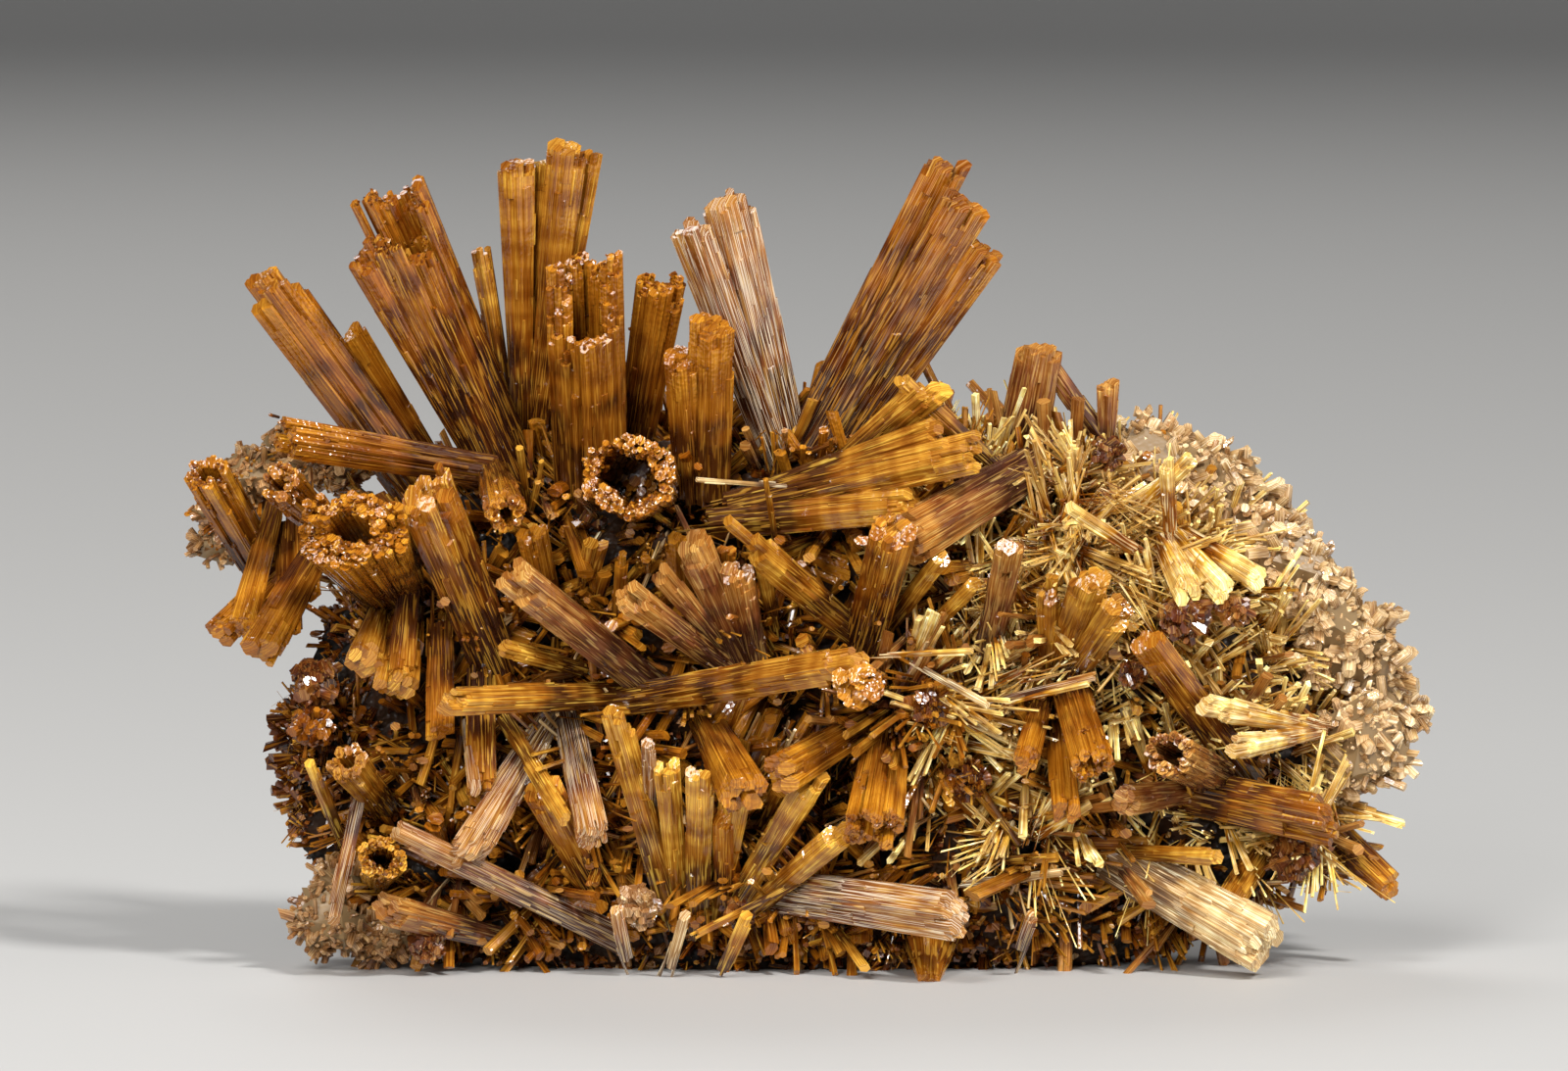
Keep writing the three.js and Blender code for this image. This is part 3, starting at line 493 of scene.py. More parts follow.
def add_stem(pile, row, name, number, sizes):
    """One prism as a bundle. The fine prisms stand on a jittered lattice of triangles inside the outline.
    Across the bundle a place is side times x plus front times z times flat, narrowed towards the neck in
    proportion to the height. Each breaks off at its own height, in clumps."""
    root, tip, across, *own = row
    shape = {**PLAIN_PRISM, **(own[0] if own else {})}
    # The second value is the strength of the painted silvery sheen, highlights painted into the colour
    pale, pile.silver = LIGHTER_AND_PAINTED_SHEEN.get(name, (0.0, 0.0))
    chance = stream(name, number)
    root, tip = np.array(root, float), np.array(tip, float)
    straight = np.linalg.norm(tip - root)
    axis = (tip - root) / straight
    length = straight * (1 + shape["jag"] / 2)
    facing = np.array([0.0, 0.0, 1.0]) if abs(axis[1]) > 0.9 else np.array([0.0, -1.0, 0.0])
    side = unit(np.cross(axis, facing))
    front = np.cross(side, axis)
    half = across / 2
    pitch = sizes.fine_width
    if across < FINER_BELOW or shape["hollow"]:
        pitch = pitch * FINER
    elif across >= WIDER_ABOVE:
        pitch = pitch * WIDER

    steps = np.arange(-2 * int(half / pitch + 2), 2 * int(half / pitch + 2) + 1)
    i, j = [grid.ravel() for grid in np.meshgrid(steps, steps)]
    x = pitch * (i + j / 2) + chance.normal(0, JITTER * pitch, len(i))
    z = pitch * j * math.sqrt(0.75) + chance.normal(0, JITTER * pitch, len(i))
    bearing = np.arctan2(x, z)
    outline = outline_at(bearing, half)
    fine_half = pitch * (LEAST_HALF + (0.5 if shape["hollow"] else 0.8) * chance.random(len(x)) ** 2)
    spread = np.hypot(x, z)
    inside = spread < outline - 0.45 * pitch
    x, z, bearing, outline, spread, fine_half = [
        part[inside] for part in (x, z, bearing, outline, spread, fine_half)
    ]
    pull = np.minimum(1, np.maximum(0.1, outline - 0.9 * fine_half) / np.maximum(spread, 1e-6))
    x, z, spread = x * pull, z * pull, spread * pull

    clumps = chance.uniform(-half, half, (2, shape["ribs"] * 2))
    clump = np.argmin(np.hypot(x[:, None] - clumps[0], z[:, None] - clumps[1]), axis=1)
    clump_drop = chance.random(shape["ribs"] * 2) * shape["jag"]
    top = length * (1 - clump_drop[clump] - shape["scoop"] * np.maximum(0, np.cos(bearing)))
    top = top - np.minimum(chance.exponential(sizes.fray, len(x)), 3 * sizes.fray)
    outer = spread > OUTER * outline
    early = outer & (chance.random(len(x)) < sizes.ledges)
    top = np.where(early, top * chance.uniform(0.4, 0.98, len(x)), top)
    depth = 0.0
    # The bore is a wavy circle, and its floor is rough
    if shape["hollow"]:
        wobble = 1 + 0.16 * np.sin(2 * bearing + number) + 0.12 * np.sin(5 * bearing + across)
        depth = min(BORE_SHARE * length, BORE_DEPTH * across)
        floor = length - depth * chance.uniform(0.85, 1.1, len(x))
        top = np.where(spread < shape["hollow"] * half * wobble, np.minimum(top, floor), top)
    # Some outer ones start above the root
    low = np.where(outer & (chance.random(len(x)) < LATE_SHARE), chance.uniform(0, 0.4, len(x)) * length, 0)
    low = np.minimum(low, top - 0.6) - 0.3 * chance.random(len(x))
    hidden = spread < outline - HIDDEN_WITHIN * pitch
    if shape["hollow"]:
        hidden &= spread < shape["hollow"] * half * 0.9
    low = np.where(hidden, np.maximum(low, top - HIDDEN_LENGTH), low)
    tone = chance.uniform(*STEM_TONES, len(x)) + pale

    # Short ones that stick to the outside of the bundle and show both their ends
    extra = int(across * length * sizes.flakes)
    edge = chance.uniform(0, 2 * math.pi, extra)
    reach = outline_at(edge, half) * chance.uniform(*FLAKE_PLACE, extra)
    high = length * (1 - shape["jag"] - shape["scoop"]) * chance.uniform(0.1, 1.0, extra)
    x = np.concatenate([x, np.sin(edge) * reach])
    z = np.concatenate([z, np.cos(edge) * reach])
    top = np.concatenate([top, high])
    low = np.concatenate([low, high - chance.uniform(*FLAKE_LENGTH, extra)])
    fine_half = np.concatenate([fine_half, chance.uniform(*FLAKE_HALF, extra)])
    tone = np.concatenate([tone, chance.uniform(*FLAKE_TONES, extra) + pale])

    def narrow_at(height):
        return shape["neck"] + (1 - shape["neck"]) * np.clip(height / length, 0, 1)

    def place(height, x, z):
        narrow = narrow_at(height)
        across_bundle = (x * narrow)[:, None] * side + (z * narrow * shape["flat"])[:, None] * front
        return root + height[:, None] * axis + across_bundle

    start = place(low, x, z)
    end = place(top, x, z)
    rod_axis = unit(end - start)
    rod_side = unit(side - (rod_axis @ side)[:, None] * rod_axis)
    reach = np.stack([low, top], axis=1)
    turn = chance.normal(math.pi / 6, 0.05, len(x))
    slope = chance.uniform(0, 0.7, len(x))
    spans = np.ceil((top - low) / LONGEST_SPAN)
    for number_of_spans in np.unique(spans):
        some = spans == number_of_spans
        add_rods(
            pile, start[some], end[some], fine_half[some], rod_side[some], tone[some],
            foot=narrow_at(low[some]), turn=turn[some], slope=slope[some], along=reach[some] / length,
            grow=reach[some] + ROW_SHIFT * number, spans=int(number_of_spans),
        )
    core_top = length * (1 - shape["jag"] - shape["scoop"]) - 2 * sizes.fray - depth
    narrow = shape["neck"] + (1 - shape["neck"]) * core_top / length
    add_rods(
        pile, root[None], (root + core_top * axis)[None], np.array([CORE * half]), side[None],
        np.array([CORE_TONE + pale]), thin=shape["flat"], foot=shape["neck"], tip=narrow, turn=math.pi / 6,
        along=np.array([[0, core_top / length]]), grow=np.array([[0, core_top]]) + ROW_SHIFT * number,
    )
    if shape["hollow"]:
        add_rim(pile, (x, z, top), place, axis, shape, half, length, chance, number)


def add_rim(pile, ends, place, axis, shape, half, length, chance, number):
    """Sugar of small blocks at the mouth of a hollow prism, each at the broken end of a fine prism taken by
    chance, and some of them down the wall of the hollow."""
    x, z, top = ends
    count = int(RIM_BLOCKS * half)
    mouth = np.flatnonzero((np.hypot(x, z) > shape["hollow"] * half) & (top > (1 - RIM_REACH) * length))
    pick = chance.choice(mouth, count)
    inner = chance.random(count) < DOWN_THE_WALL
    inwards = np.where(inner, 0.8, chance.uniform(0.85, 1.0, count))
    down_the_wall = chance.uniform(0.2, 0.3 * length, count)
    at_the_mouth = chance.uniform(-0.08, 0.35, count)
    height = top[pick] - np.where(inner, down_the_wall, at_the_mouth)
    middle = place(height, x[pick] * inwards, z[pick] * inwards) + chance.normal(0, 0.05, (count, 3))
    heading = unit(chance.normal(0, 1, (count, 3)) + 0.8 * axis)
    reach = chance.uniform(*RIM_HALF_LENGTH, count)[:, None]
    add_rods(
        pile, middle - heading * reach, middle + heading * reach, chance.uniform(*RIM_HALF, count),
        any_side(heading), chance.uniform(*RIM_TONES, count), corners=4, slope=0.5,
        along=np.tile([0.55, 0.8], (count, 1)), grow=chance.uniform(0, 9, (count, 2)) + number,
    )


def spots_on(node, count, chance, keep=None):
    """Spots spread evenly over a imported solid: a triangle is drawn by its area, and the place in it is one
    corner plus a share of each of two edges. Returns places in millimetres and outward directions."""
    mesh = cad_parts[node].data
    mesh.calc_loop_triangles()
    corners = np.empty(len(mesh.vertices) * 3)
    mesh.vertices.foreach_get("co", corners)
    triangles = np.empty(len(mesh.loop_triangles) * 3, int)
    mesh.loop_triangles.foreach_get("vertices", triangles)
    a, b, c = (corners.reshape(-1, 3) / MM)[triangles.reshape(-1, 3)].transpose(1, 0, 2)
    normal = np.cross(b - a, c - a)
    area = np.linalg.norm(normal, axis=1)
    pick = chance.choice(len(area), count, p=area / area.sum())
    share = chance.random((count, 2))
    share = np.where(share.sum(axis=1, keepdims=True) > 1, 1 - share, share)
    places = a[pick] + share[:, :1] * (b - a)[pick] + share[:, 1:] * (c - a)[pick]
    outward = normal[pick] / area[pick, None]
    chosen = slice(None) if keep is None else keep(places, outward)
    return places[chosen], outward[chosen]


# The tones of small crystals, from the darkest to the palest, where nothing else is said
TONES = (0.2, 1.0)


def add_sprays(pile, places, outward, chance, blades, length, half, **look):
    """Sprays of small crystals: each spray has a heading between straight out and a chance direction. Its
    blades stand side by side in a flat fan, each with that heading plus its share of the fan's spread."""
    count = len(places)
    lie = look.get("lie", 0.8)
    heading = unit(outward + lie * chance.normal(0, 1, (count, 3)))
    heading = unit(heading + np.maximum(0, 0.15 - (heading * outward).sum(axis=1))[:, None] * outward)
    total = count * blades
    fan = unit(np.cross(heading, chance.normal(0, 1, (count, 3))))
    fan = np.repeat(fan, blades, axis=0) * chance.uniform(-1, 1, (total, 1))
    origin = np.repeat(places - 0.5 * outward, blades, axis=0) + look.get("width", 0.5) * fan
    origin = origin + chance.normal(0, 0.1, (total, 3))
    spread = look.get("spread", 0.35)
    stray = chance.normal(0, 0.3 * spread, (total, 3))
    direction = unit(np.repeat(heading, blades, axis=0) + spread * fan + stray)
    near_left = (places[:, 0] - SHORT_LEFT[0]) / SHORT_LEFT[1]
    near_foot = (places[:, 2] - SHORT_FOOT[0]) / SHORT_FOOT[1]
    short = np.where(look.get("whole", False), 1.0, np.clip(np.minimum(near_left, near_foot), SHORTEST, 1))
    size = np.repeat(chance.uniform(0.45, 1.0, count) * short, blades)
    reach = chance.uniform(*length, total) * size
    widths = chance.uniform(*half, total) * size
    dark, pale = look.get("tones", TONES)
    light = 0.6 * np.repeat(chance.random(count), blades) + 0.4 * chance.random(total)
    tone = dark + (pale - dark) * light
    add_rods(
        pile, origin, origin + direction * reach[:, None], widths, any_side(direction), tone,
        thin=chance.uniform(*look.get("thin", (0.6, 1.0)), total),
        turn=chance.uniform(0, 3, total), foot=look.get("foot", 0.7), tip=look.get("tip", 0.85),
        slope=chance.uniform(0, 0.6, total), corners=look.get("corners", 6),
        along=look.get("along", np.array([0.0, 1.0])),
    )


# The vein rock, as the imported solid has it, in millimetres
ROCK = {"half_width": 26.3, "half_depth": 6.1, "height": 27.8, "sunk": 0.05, "squareness": 2.6}
ROCK_LEAN = (0.6, 1.5)
ROCK_LEAN_BY = 9
ROCK_SKYLINE = [(-28, 0.75), (-22, 0.98), (-12, 1.02), (8, 1.02), (15, 1), (21, 0.92), (28, 0.74)]
ROCK_WAVES = [(0.6, (17, -6, 5)), (0.45, (-11, 16, 19))]
# The relief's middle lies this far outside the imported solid, in millimetres
ROCK_INSET = -0.25
ROCK_ROWS = 96
ROCK_COLUMNS = 240


def grid_faces(rows, columns):
    """Numbers of the points of closed rings, those of the points beside them, and the faces between rings."""
    at = np.arange(rows * columns).reshape(rows, columns)
    beside = np.roll(at, -1, axis=1)
    return at, beside, np.stack([at[:-1], beside[:-1], beside[1:], at[1:]], axis=-1).reshape(-1, 4)


def rock_points(x, y, z, outset):
    """A squarish egg: a direction is scaled until the sum of the powers of its three parts is one, swelled
    by two sine waves and by outset, stretched to the slab's size and skyline, and leaned to the back."""
    size = (abs(x) ** ROCK["squareness"] + abs(y) ** ROCK["squareness"] + abs(z) ** ROCK["squareness"])
    size = size ** (-1 / ROCK["squareness"])
    swell = outset + sum(h * np.sin(a * x + b * y + c * z) for h, (a, b, c) in ROCK_WAVES)
    across = x * (size * ROCK["half_width"] + swell)
    tall = ROCK["height"] * np.interp(across, *zip(*ROCK_SKYLINE))
    up = np.maximum(0, (z * size + 1) / 2 - ROCK["sunk"]) * tall + np.maximum(0, z) * swell
    lean = np.minimum(1, up / ROCK_LEAN_BY)
    deep = y * (size * ROCK["half_depth"] + swell)
    return np.stack([across + ROCK_LEAN[0] * lean, deep + ROCK_LEAN[1] * lean, up], axis=-1)


def roughness_of(x, y, z, chance, waves=14):
    """Broken relief: the sum of folded sine waves, each the absolute value of a sine along a chance line."""
    total = 0
    for wave in range(waves):
        a, b, c = chance.normal(0, 1, 3) * (14 + 7 * wave)
        total = total + (0.5 - np.abs(np.sin(a * x + b * y + c * z + wave))) / (1 + 0.35 * wave)
    return total


# How each finish looks: its colour in the middle of a crystal, at the dark root, at the tip and in the golden
# flecks, how far along the middle's colour stands, how strong the flecks, the growth bands and the sugary
# grain are, and how rough it is. The rock has its own colour, its glitter's and its rusty stains', and
# crust_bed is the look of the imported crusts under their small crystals
FINISHES = {
    "honey": {
        "body": (0.225, 0.067, 0.005), "root": (0.065, 0.018, 0.003),
        "tip": (0.47, 0.175, 0.01), "gold": (0.56, 0.25, 0.025),
        "turn": 0.5, "flecks": 0.3, "bands": 0.08, "rough": 0.12, "sugar": 0.7,
    },
    "chestnut": {
        "body": (0.15, 0.04, 0.004), "root": (0.05, 0.016, 0.007),
        "tip": (0.44, 0.155, 0.01), "gold": (0.62, 0.31, 0.035),
        "turn": 0.58, "flecks": 0.6, "bands": 0.06, "rough": 0.14, "sugar": 0.35,
    },
    "golden": {
        "body": (0.27, 0.09, 0.006), "root": (0.07, 0.022, 0.004),
        "tip": (0.55, 0.25, 0.025), "gold": (0.66, 0.36, 0.045),
        "turn": 0.55, "flecks": 0.45, "bands": 0.22, "rough": 0.12, "sugar": 0.3,
    },
    "rosy": {
        "body": (0.2, 0.063, 0.02), "root": (0.075, 0.027, 0.014),
        "tip": (0.45, 0.19, 0.035), "gold": (0.68, 0.42, 0.12),
        "turn": 0.55, "flecks": 0.4, "bands": 0.1, "rough": 0.12, "sugar": 0.25,
    },
    "cream": {
        "body": (0.45, 0.27, 0.09), "root": (0.24, 0.15, 0.08),
        "tip": (0.84, 0.62, 0.3), "gold": (0.95, 0.8, 0.5),
        "turn": 0.5, "flecks": 0.6, "bands": 0.12, "rough": 0.17, "sugar": 0.3,
    },
    "druse": {
        "body": (0.46, 0.28, 0.105), "root": (0.3, 0.17, 0.065),
        "tip": (0.76, 0.53, 0.27), "gold": (0.85, 0.67, 0.44),
        "turn": 0.5, "flecks": 0.5, "bands": 0.0, "rough": 0.2, "sugar": 0.6,
    },
    "crust_bed": {
        "body": (0.72, 0.8, 0.62), "root": (0.74, 0.82, 0.64),
        "tip": (0.8, 0.88, 0.7), "gold": (0.85, 0.95, 0.8),
        "turn": 0.5, "flecks": 0.5, "bands": 0.0, "rough": 0.3, "sugar": 1.0,
    },
    "straw": {
        "body": (0.62, 0.3, 0.022), "root": (0.28, 0.085, 0.006),
        "tip": (0.95, 0.7, 0.22), "gold": (1.0, 0.84, 0.45),
        "turn": 0.35, "flecks": 0.6, "bands": 0.25, "rough": 0.12, "sugar": 0.2,
    },
    "rock": {
        "body": (0.004, 0.002, 0.001), "tip": (0.03, 0.02, 0.012), "gold": (0.04, 0.014, 0.003),
    },
}
# The colour of the painted silvery sheen: streaks painted over the crystals' colour as highlights
PAINTED_SHEEN_COLOUR = (0.72, 0.6, 0.44, 1.0)


class Weave:
    """Adds nodes to a material and joins them: a value that is a socket is linked, and any other is set."""

    def __init__(self, material):
        material.use_nodes = True
        self.tree = material.node_tree
        self.tree.nodes.clear()

    def add(self, kind, inputs=None, **settings):
        node = self.tree.nodes.new("ShaderNode" + kind)
        for key, value in settings.items():
            setattr(node, key, value)
        for key, value in (inputs or {}).items():
            socket = node.inputs[key]
            if isinstance(value, bpy.types.NodeSocket):
                self.tree.links.new(value, socket)
            else:
                socket.default_value = value
        return node

    def math(self, operation, *values):
        return self.add("Math", dict(enumerate(values)), operation=operation).outputs[0]

    def point_value(self, name):
        return self.add("Attribute", attribute_name=name, attribute_type="GEOMETRY").outputs["Fac"]

    def stretch(self, value, low, high, to_low=0.0, to_high=1.0):
        inputs = {"Value": value, "From Min": low, "From Max": high, "To Min": to_low, "To Max": to_high}
        return self.add("MapRange", inputs).outputs[0]

    def mix(self, share, first, second, blend="MIX"):
        node = self.add("Mix", data_type="RGBA", blend_type=blend)
        for index, value in ((0, share), (6, first), (7, second)):
            if isinstance(value, bpy.types.NodeSocket):
                self.tree.links.new(value, node.inputs[index])
            else:
                node.inputs[index].default_value = value
        return node.outputs[2]


def opaque(colour):
    return (*colour, 1.0)


def finish_material(slot):
    """The material of a finish, made when it is first asked for."""
    name = slot + "_finish"
    if name in bpy.data.materials:
        return bpy.data.materials[name]
    material = bpy.data.materials.new(name)
    colours = bpy.context.scene.specimen_colours
    build = rock_look if slot == "rock" else crystal_look
    build(Weave(material), tuple(getattr(colours, slot)), FINISHES[slot])
    return material


# Waves of the flecks and of the streaks for each millimetre round and along a crystal, and how far apart the
# patterns of two crystals are that differ by one in tone
FLECKS = (9.0, 0.7)
STREAKS = (22.0, 0.35)
APART = 47.0
# Waves of the dark clouds and of the sugary grain for each metre
CLOUDS = 700.0
GRAIN = 5200.0


def crystal_look(weave, colour, finish):
    """Dark at the root, the finish's colour in the middle and pale at the tip. Long golden flecks and fine
    streaks run along each crystal, and so do silvery streaks painted in as highlights; growth bands run across
    it, and each has its own tone."""
    along, grow, wrap, tone, silver = [
        weave.point_value(name) for name in ("along", "grow", "wrap", "tone", "silver")
    ]
    place = weave.add("TexCoord").outputs["Object"]
    cloud = weave.add("TexNoise", {"Vector": place, "Scale": CLOUDS, "Detail": 0.0}).outputs["Fac"]
    ramp = weave.add("ValToRGB")
    shifted = weave.math("ADD", along, weave.stretch(cloud, 0.3, 0.7, -0.2, 0.2))
    weave.tree.links.new(shifted, ramp.inputs[0])
    stops = ramp.color_ramp.elements
    stops[0].position, stops[0].color = 0.25, opaque(finish["root"])
    stops[1].position, stops[1].color = 1.0, opaque(finish["tip"])
    middle = stops.new(finish["turn"])
    middle.color = opaque(colour)

    def lengthwise(waves_round, waves_along):
        own = weave.add("CombineXYZ", {
            "X": weave.math("MULTIPLY", wrap, waves_round),
            "Y": weave.math("MULTIPLY", grow, waves_along),
            "Z": weave.math("MULTIPLY", tone, APART),
        }).outputs[0]
        return weave.add("TexNoise", {"Vector": own, "Scale": 1.0, "Detail": 0.0}).outputs["Fac"]

    fleck = weave.stretch(lengthwise(*FLECKS), 0.55, 0.61, 0.0, finish["flecks"])
    flecked = weave.mix(fleck, ramp.outputs[0], opaque(finish["gold"]))
    streak = lengthwise(*STREAKS)
    waves = {"W": grow, "Scale": 0.9, "Detail": 1.0}
    band = weave.add("TexNoise", waves, noise_dimensions="1D").outputs["Fac"]
    own_shade = weave.math("MULTIPLY_ADD", tone, 0.9, 0.35)
    streaked = weave.math("MULTIPLY", own_shade, weave.stretch(streak, 0.35, 0.65, 0.7, 1.2))
    banded = weave.stretch(band, 0.38, 0.62, 1 - finish["bands"], 1 + 0.5 * finish["bands"])
    shade = weave.math("MULTIPLY", streaked, banded)
    # A darker place is also redder, as thicker amber is
    tint = weave.add("CombineColor", {
        "Red": shade, "Green": weave.math("POWER", shade, 1.5), "Blue": weave.math("POWER", shade, 2.0),
    }).outputs[0]
    tinted = weave.mix(1.0, flecked, tint, "MULTIPLY")
    # Silvery streaks mixed over the colour: a painted sheen that stands in for highlights
    painted_sheen_share = weave.math("MULTIPLY", silver, weave.stretch(streak, 0.55, 0.64))
    final = weave.mix(painted_sheen_share, tinted, PAINTED_SHEEN_COLOUR)
    rough = weave.stretch(streak, 0.35, 0.65, finish["rough"] - 0.06, finish["rough"] + 0.12)
    grain = weave.add("TexNoise", {"Vector": place, "Scale": GRAIN, "Detail": 0.0}).outputs["Fac"]
    tipwards = weave.stretch(along, 0.5, 1.0, 0.12 * finish["sugar"], finish["sugar"])
    sugar = weave.math("MULTIPLY", grain, tipwards)
    bump = weave.add("Bump", {"Height": sugar, "Strength": 0.8, "Distance": 0.00012}).outputs[0]
    shader = weave.add("BsdfPrincipled", {
        "Base Color": final, "Roughness": rough, "Normal": bump, "IOR": 1.55,
    })
    weave.tree.links.new(shader.outputs[0], weave.add("OutputMaterial").inputs["Surface"])


def rock_look(weave, colour, finish):
    """Near-black matrix with rusty stains and fine glitter."""
    place = weave.add("TexCoord").outputs["Object"]
    stain = weave.add("TexNoise", {"Vector": place, "Scale": 240.0, "Detail": 6.0}).outputs["Fac"]
    grain = weave.add("TexVoronoi", {"Vector": place, "Scale": 3200.0})
    rust = weave.stretch(stain, 0.45, 0.66)
    stained = weave.mix(rust, opaque(colour), opaque(finish["gold"]))
    from_middle = grain.outputs["Distance"]
    speckled = weave.mix(weave.stretch(from_middle, 0.0, 0.6, 0.6, 0.0), stained, opaque(finish["tip"]))
    rough = weave.stretch(from_middle, 0.1, 0.7, 0.25, 0.7)
    bump = weave.add("Bump", {"Height": from_middle, "Strength": 0.8, "Distance": 0.0001})
    shader = weave.add("BsdfPrincipled", {
        "Base Color": speckled, "Roughness": rough, "Normal": bump.outputs[0], "IOR": 1.3,
    })
    weave.tree.links.new(shader.outputs[0], weave.add("OutputMaterial").inputs["Surface"])


class SpecimenSizes(bpy.types.PropertyGroup):
    """Sizes of the fine crystals, in millimetres unless they are shares."""

    fine_width: bpy.props.FloatProperty(
        name="Fine prism spacing", description="Millimetres from one fine prism to the next in a bundle",
        default=0.38, min=0.15, max=1.0,
    )
    fray: bpy.props.FloatProperty(
        name="Fray", description="Millimetres by which the fine prisms break off below their clump",
        default=0.22, min=0.0, max=2.0,
    )
    ledges: bpy.props.FloatProperty(
        name="Ledges", description="Share of the outer fine prisms that end before the tip",
        default=0.3, min=0.0, max=1.0, subtype="FACTOR",
    )
    flakes: bpy.props.FloatProperty(
        name="Flakes", description="Short fine prisms for each square millimetre of a bundle's outline",
        default=1.6, min=0.0, max=6.0,
    )
    rock_relief: bpy.props.FloatProperty(
        name="Rock relief", description="Millimetres of broken relief on the vein rock",
        default=0.3, min=0.0, max=1.0,
    )


def colour_setting(slot):
    return bpy.props.FloatVectorProperty(
        name=slot.capitalize(), description=f"Main colour of the {slot} finish", subtype="COLOR",
        size=3, min=0.0, max=1.0, default=FINISHES[slot]["body"],
    )


class SpecimenColours(bpy.types.PropertyGroup):
    """The main colour of each finish."""

    honey: colour_setting("honey")
    chestnut: colour_setting("chestnut")
    golden: colour_setting("golden")
    rosy: colour_setting("rosy")
    cream: colour_setting("cream")
    druse: colour_setting("druse")
    crust_bed: colour_setting("crust_bed")
    straw: colour_setting("straw")
    rock: colour_setting("rock")


def power_setting(name, description, watts):
    return bpy.props.FloatProperty(
        name=name, description=description, default=watts, min=0.0, max=100.0, unit="POWER",
    )


class SpecimenStage(bpy.types.PropertyGroup):
    """The floor, the lights and the camera."""

    floor_colour: bpy.props.FloatVectorProperty(
        name="Floor colour", description="Colour of the plain floor", subtype="COLOR",
        size=3, min=0.0, max=1.0, default=(0.55, 0.54, 0.52),
    )
    key_power: power_setting("Key light", "Watts of the large light above and to the left", 6.6)
    glint_power: power_setting("Glint light", "Watts of the small light that gives the glints", 8.0)
    front_power: power_setting("Front light", "Watts of the small light beside the camera", 3.5)
    fill_power: power_setting("Fill light", "Watts of the weak light from the right", 1.5)
    back_power: power_setting("Back light", "Watts of the soft light behind", 3.5)


def make_region(region):
    """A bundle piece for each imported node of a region's table."""
    sizes = bpy.context.scene.specimen_sizes
    for node, (slot, prisms) in region.items():
        pile = Pile()
        for number, row in enumerate(prisms + WITH_THE_PACKED.get(node, [])):
            add_stem(pile, row, node, number, sizes)
        pile.piece(node + "_bundle", slot, [node])


class SPECIMEN_OT_rock(bpy.types.Operator):
    """Make the vein rock between the crystals"""

    bl_idname = "specimen.rock"
    bl_label = "Vein rock"

    def execute(self, context):
        turn = np.arange(ROCK_COLUMNS) * (2 * math.pi / ROCK_COLUMNS)
        rise = (np.arange(1, ROCK_ROWS) / ROCK_ROWS - 0.5) * math.pi
        rise, turn = np.meshgrid(rise, turn, indexing="ij")
        x = np.append(np.cos(rise) * np.cos(turn), [0, 0])
        y = np.append(np.cos(rise) * np.sin(turn), [0, 0])
        z = np.append(np.sin(rise), [-1, 1])
        relief = context.scene.specimen_sizes.rock_relief * roughness_of(x, y, z, stream("rock"))
        points = rock_points(x, y, z, ROCK_INSET + relief)
        rows, columns = ROCK_ROWS - 1, ROCK_COLUMNS
        at, beside, walls = grid_faces(rows, columns)
        low = np.stack([np.full(columns, rows * columns), beside[0], at[0]], axis=-1)
        high = np.stack([np.full(columns, rows * columns + 1), at[-1], beside[-1]], axis=-1)
        pile = Pile()
        pile.add(points, [walls, low, high], 0.0, 0.0, 0.0, 0.5)
        pile.piece("vein_rock_surface", "rock", ["vein_rock"])
        return {"FINISHED"}


class SPECIMEN_OT_skyline(bpy.types.Operator):
    """Make the sheaves and tubes that stand along the top"""

    bl_idname = "specimen.skyline"
    bl_label = "Skyline crystals"

    def execute(self, context):
        make_region(SKYLINE)
        return {"FINISHED"}


class SPECIMEN_OT_middle(bpy.types.Operator):
    """Make the prisms in the middle of the show side"""

    bl_idname = "specimen.middle"
    bl_label = "Middle crystals"

    def execute(self, context):
        make_region(MIDDLE)
        return {"FINISHED"}


class SPECIMEN_OT_left(bpy.types.Operator):
    """Make the hollow and level prisms of the left side"""

    bl_idname = "specimen.left"
    bl_label = "Left crystals"

    def execute(self, context):
        make_region(LEFT)
        return {"FINISHED"}


class SPECIMEN_OT_foot(bpy.types.Operator):
    """Make the fan of prisms along the foot"""

    bl_idname = "specimen.foot"
    bl_label = "Foot crystals"

    def execute(self, context):
        make_region(FOOT)
        return {"FINISHED"}


class SPECIMEN_OT_right(bpy.types.Operator):
    """Make the prisms of the right side"""

    bl_idname = "specimen.right"
    bl_label = "Right crystals"

    def execute(self, context):
        make_region(RIGHT)
        return {"FINISHED"}


class SPECIMEN_OT_slender(bpy.types.Operator):
    """Make the slender prisms between the greater ones"""

    bl_idname = "specimen.slender"
    bl_label = "Slender crystals"

    def execute(self, context):
        sizes = context.scene.specimen_sizes
        for slot, prisms in SLENDER.items():
            pile = Pile()
            for number, row in enumerate(prisms):
                add_stem(pile, (*row, SLENDER_SHAPE), "slender_" + slot, number, sizes)
            pile.piece("slender_prisms_" + slot, slot)
        return {"FINISHED"}


class SPECIMEN_OT_back(bpy.types.Operator):
    """Make the prisms of the back"""

    bl_idname = "specimen.back"
    bl_label = "Back crystals"

    def execute(self, context):
        make_region(BACK)
        return {"FINISHED"}


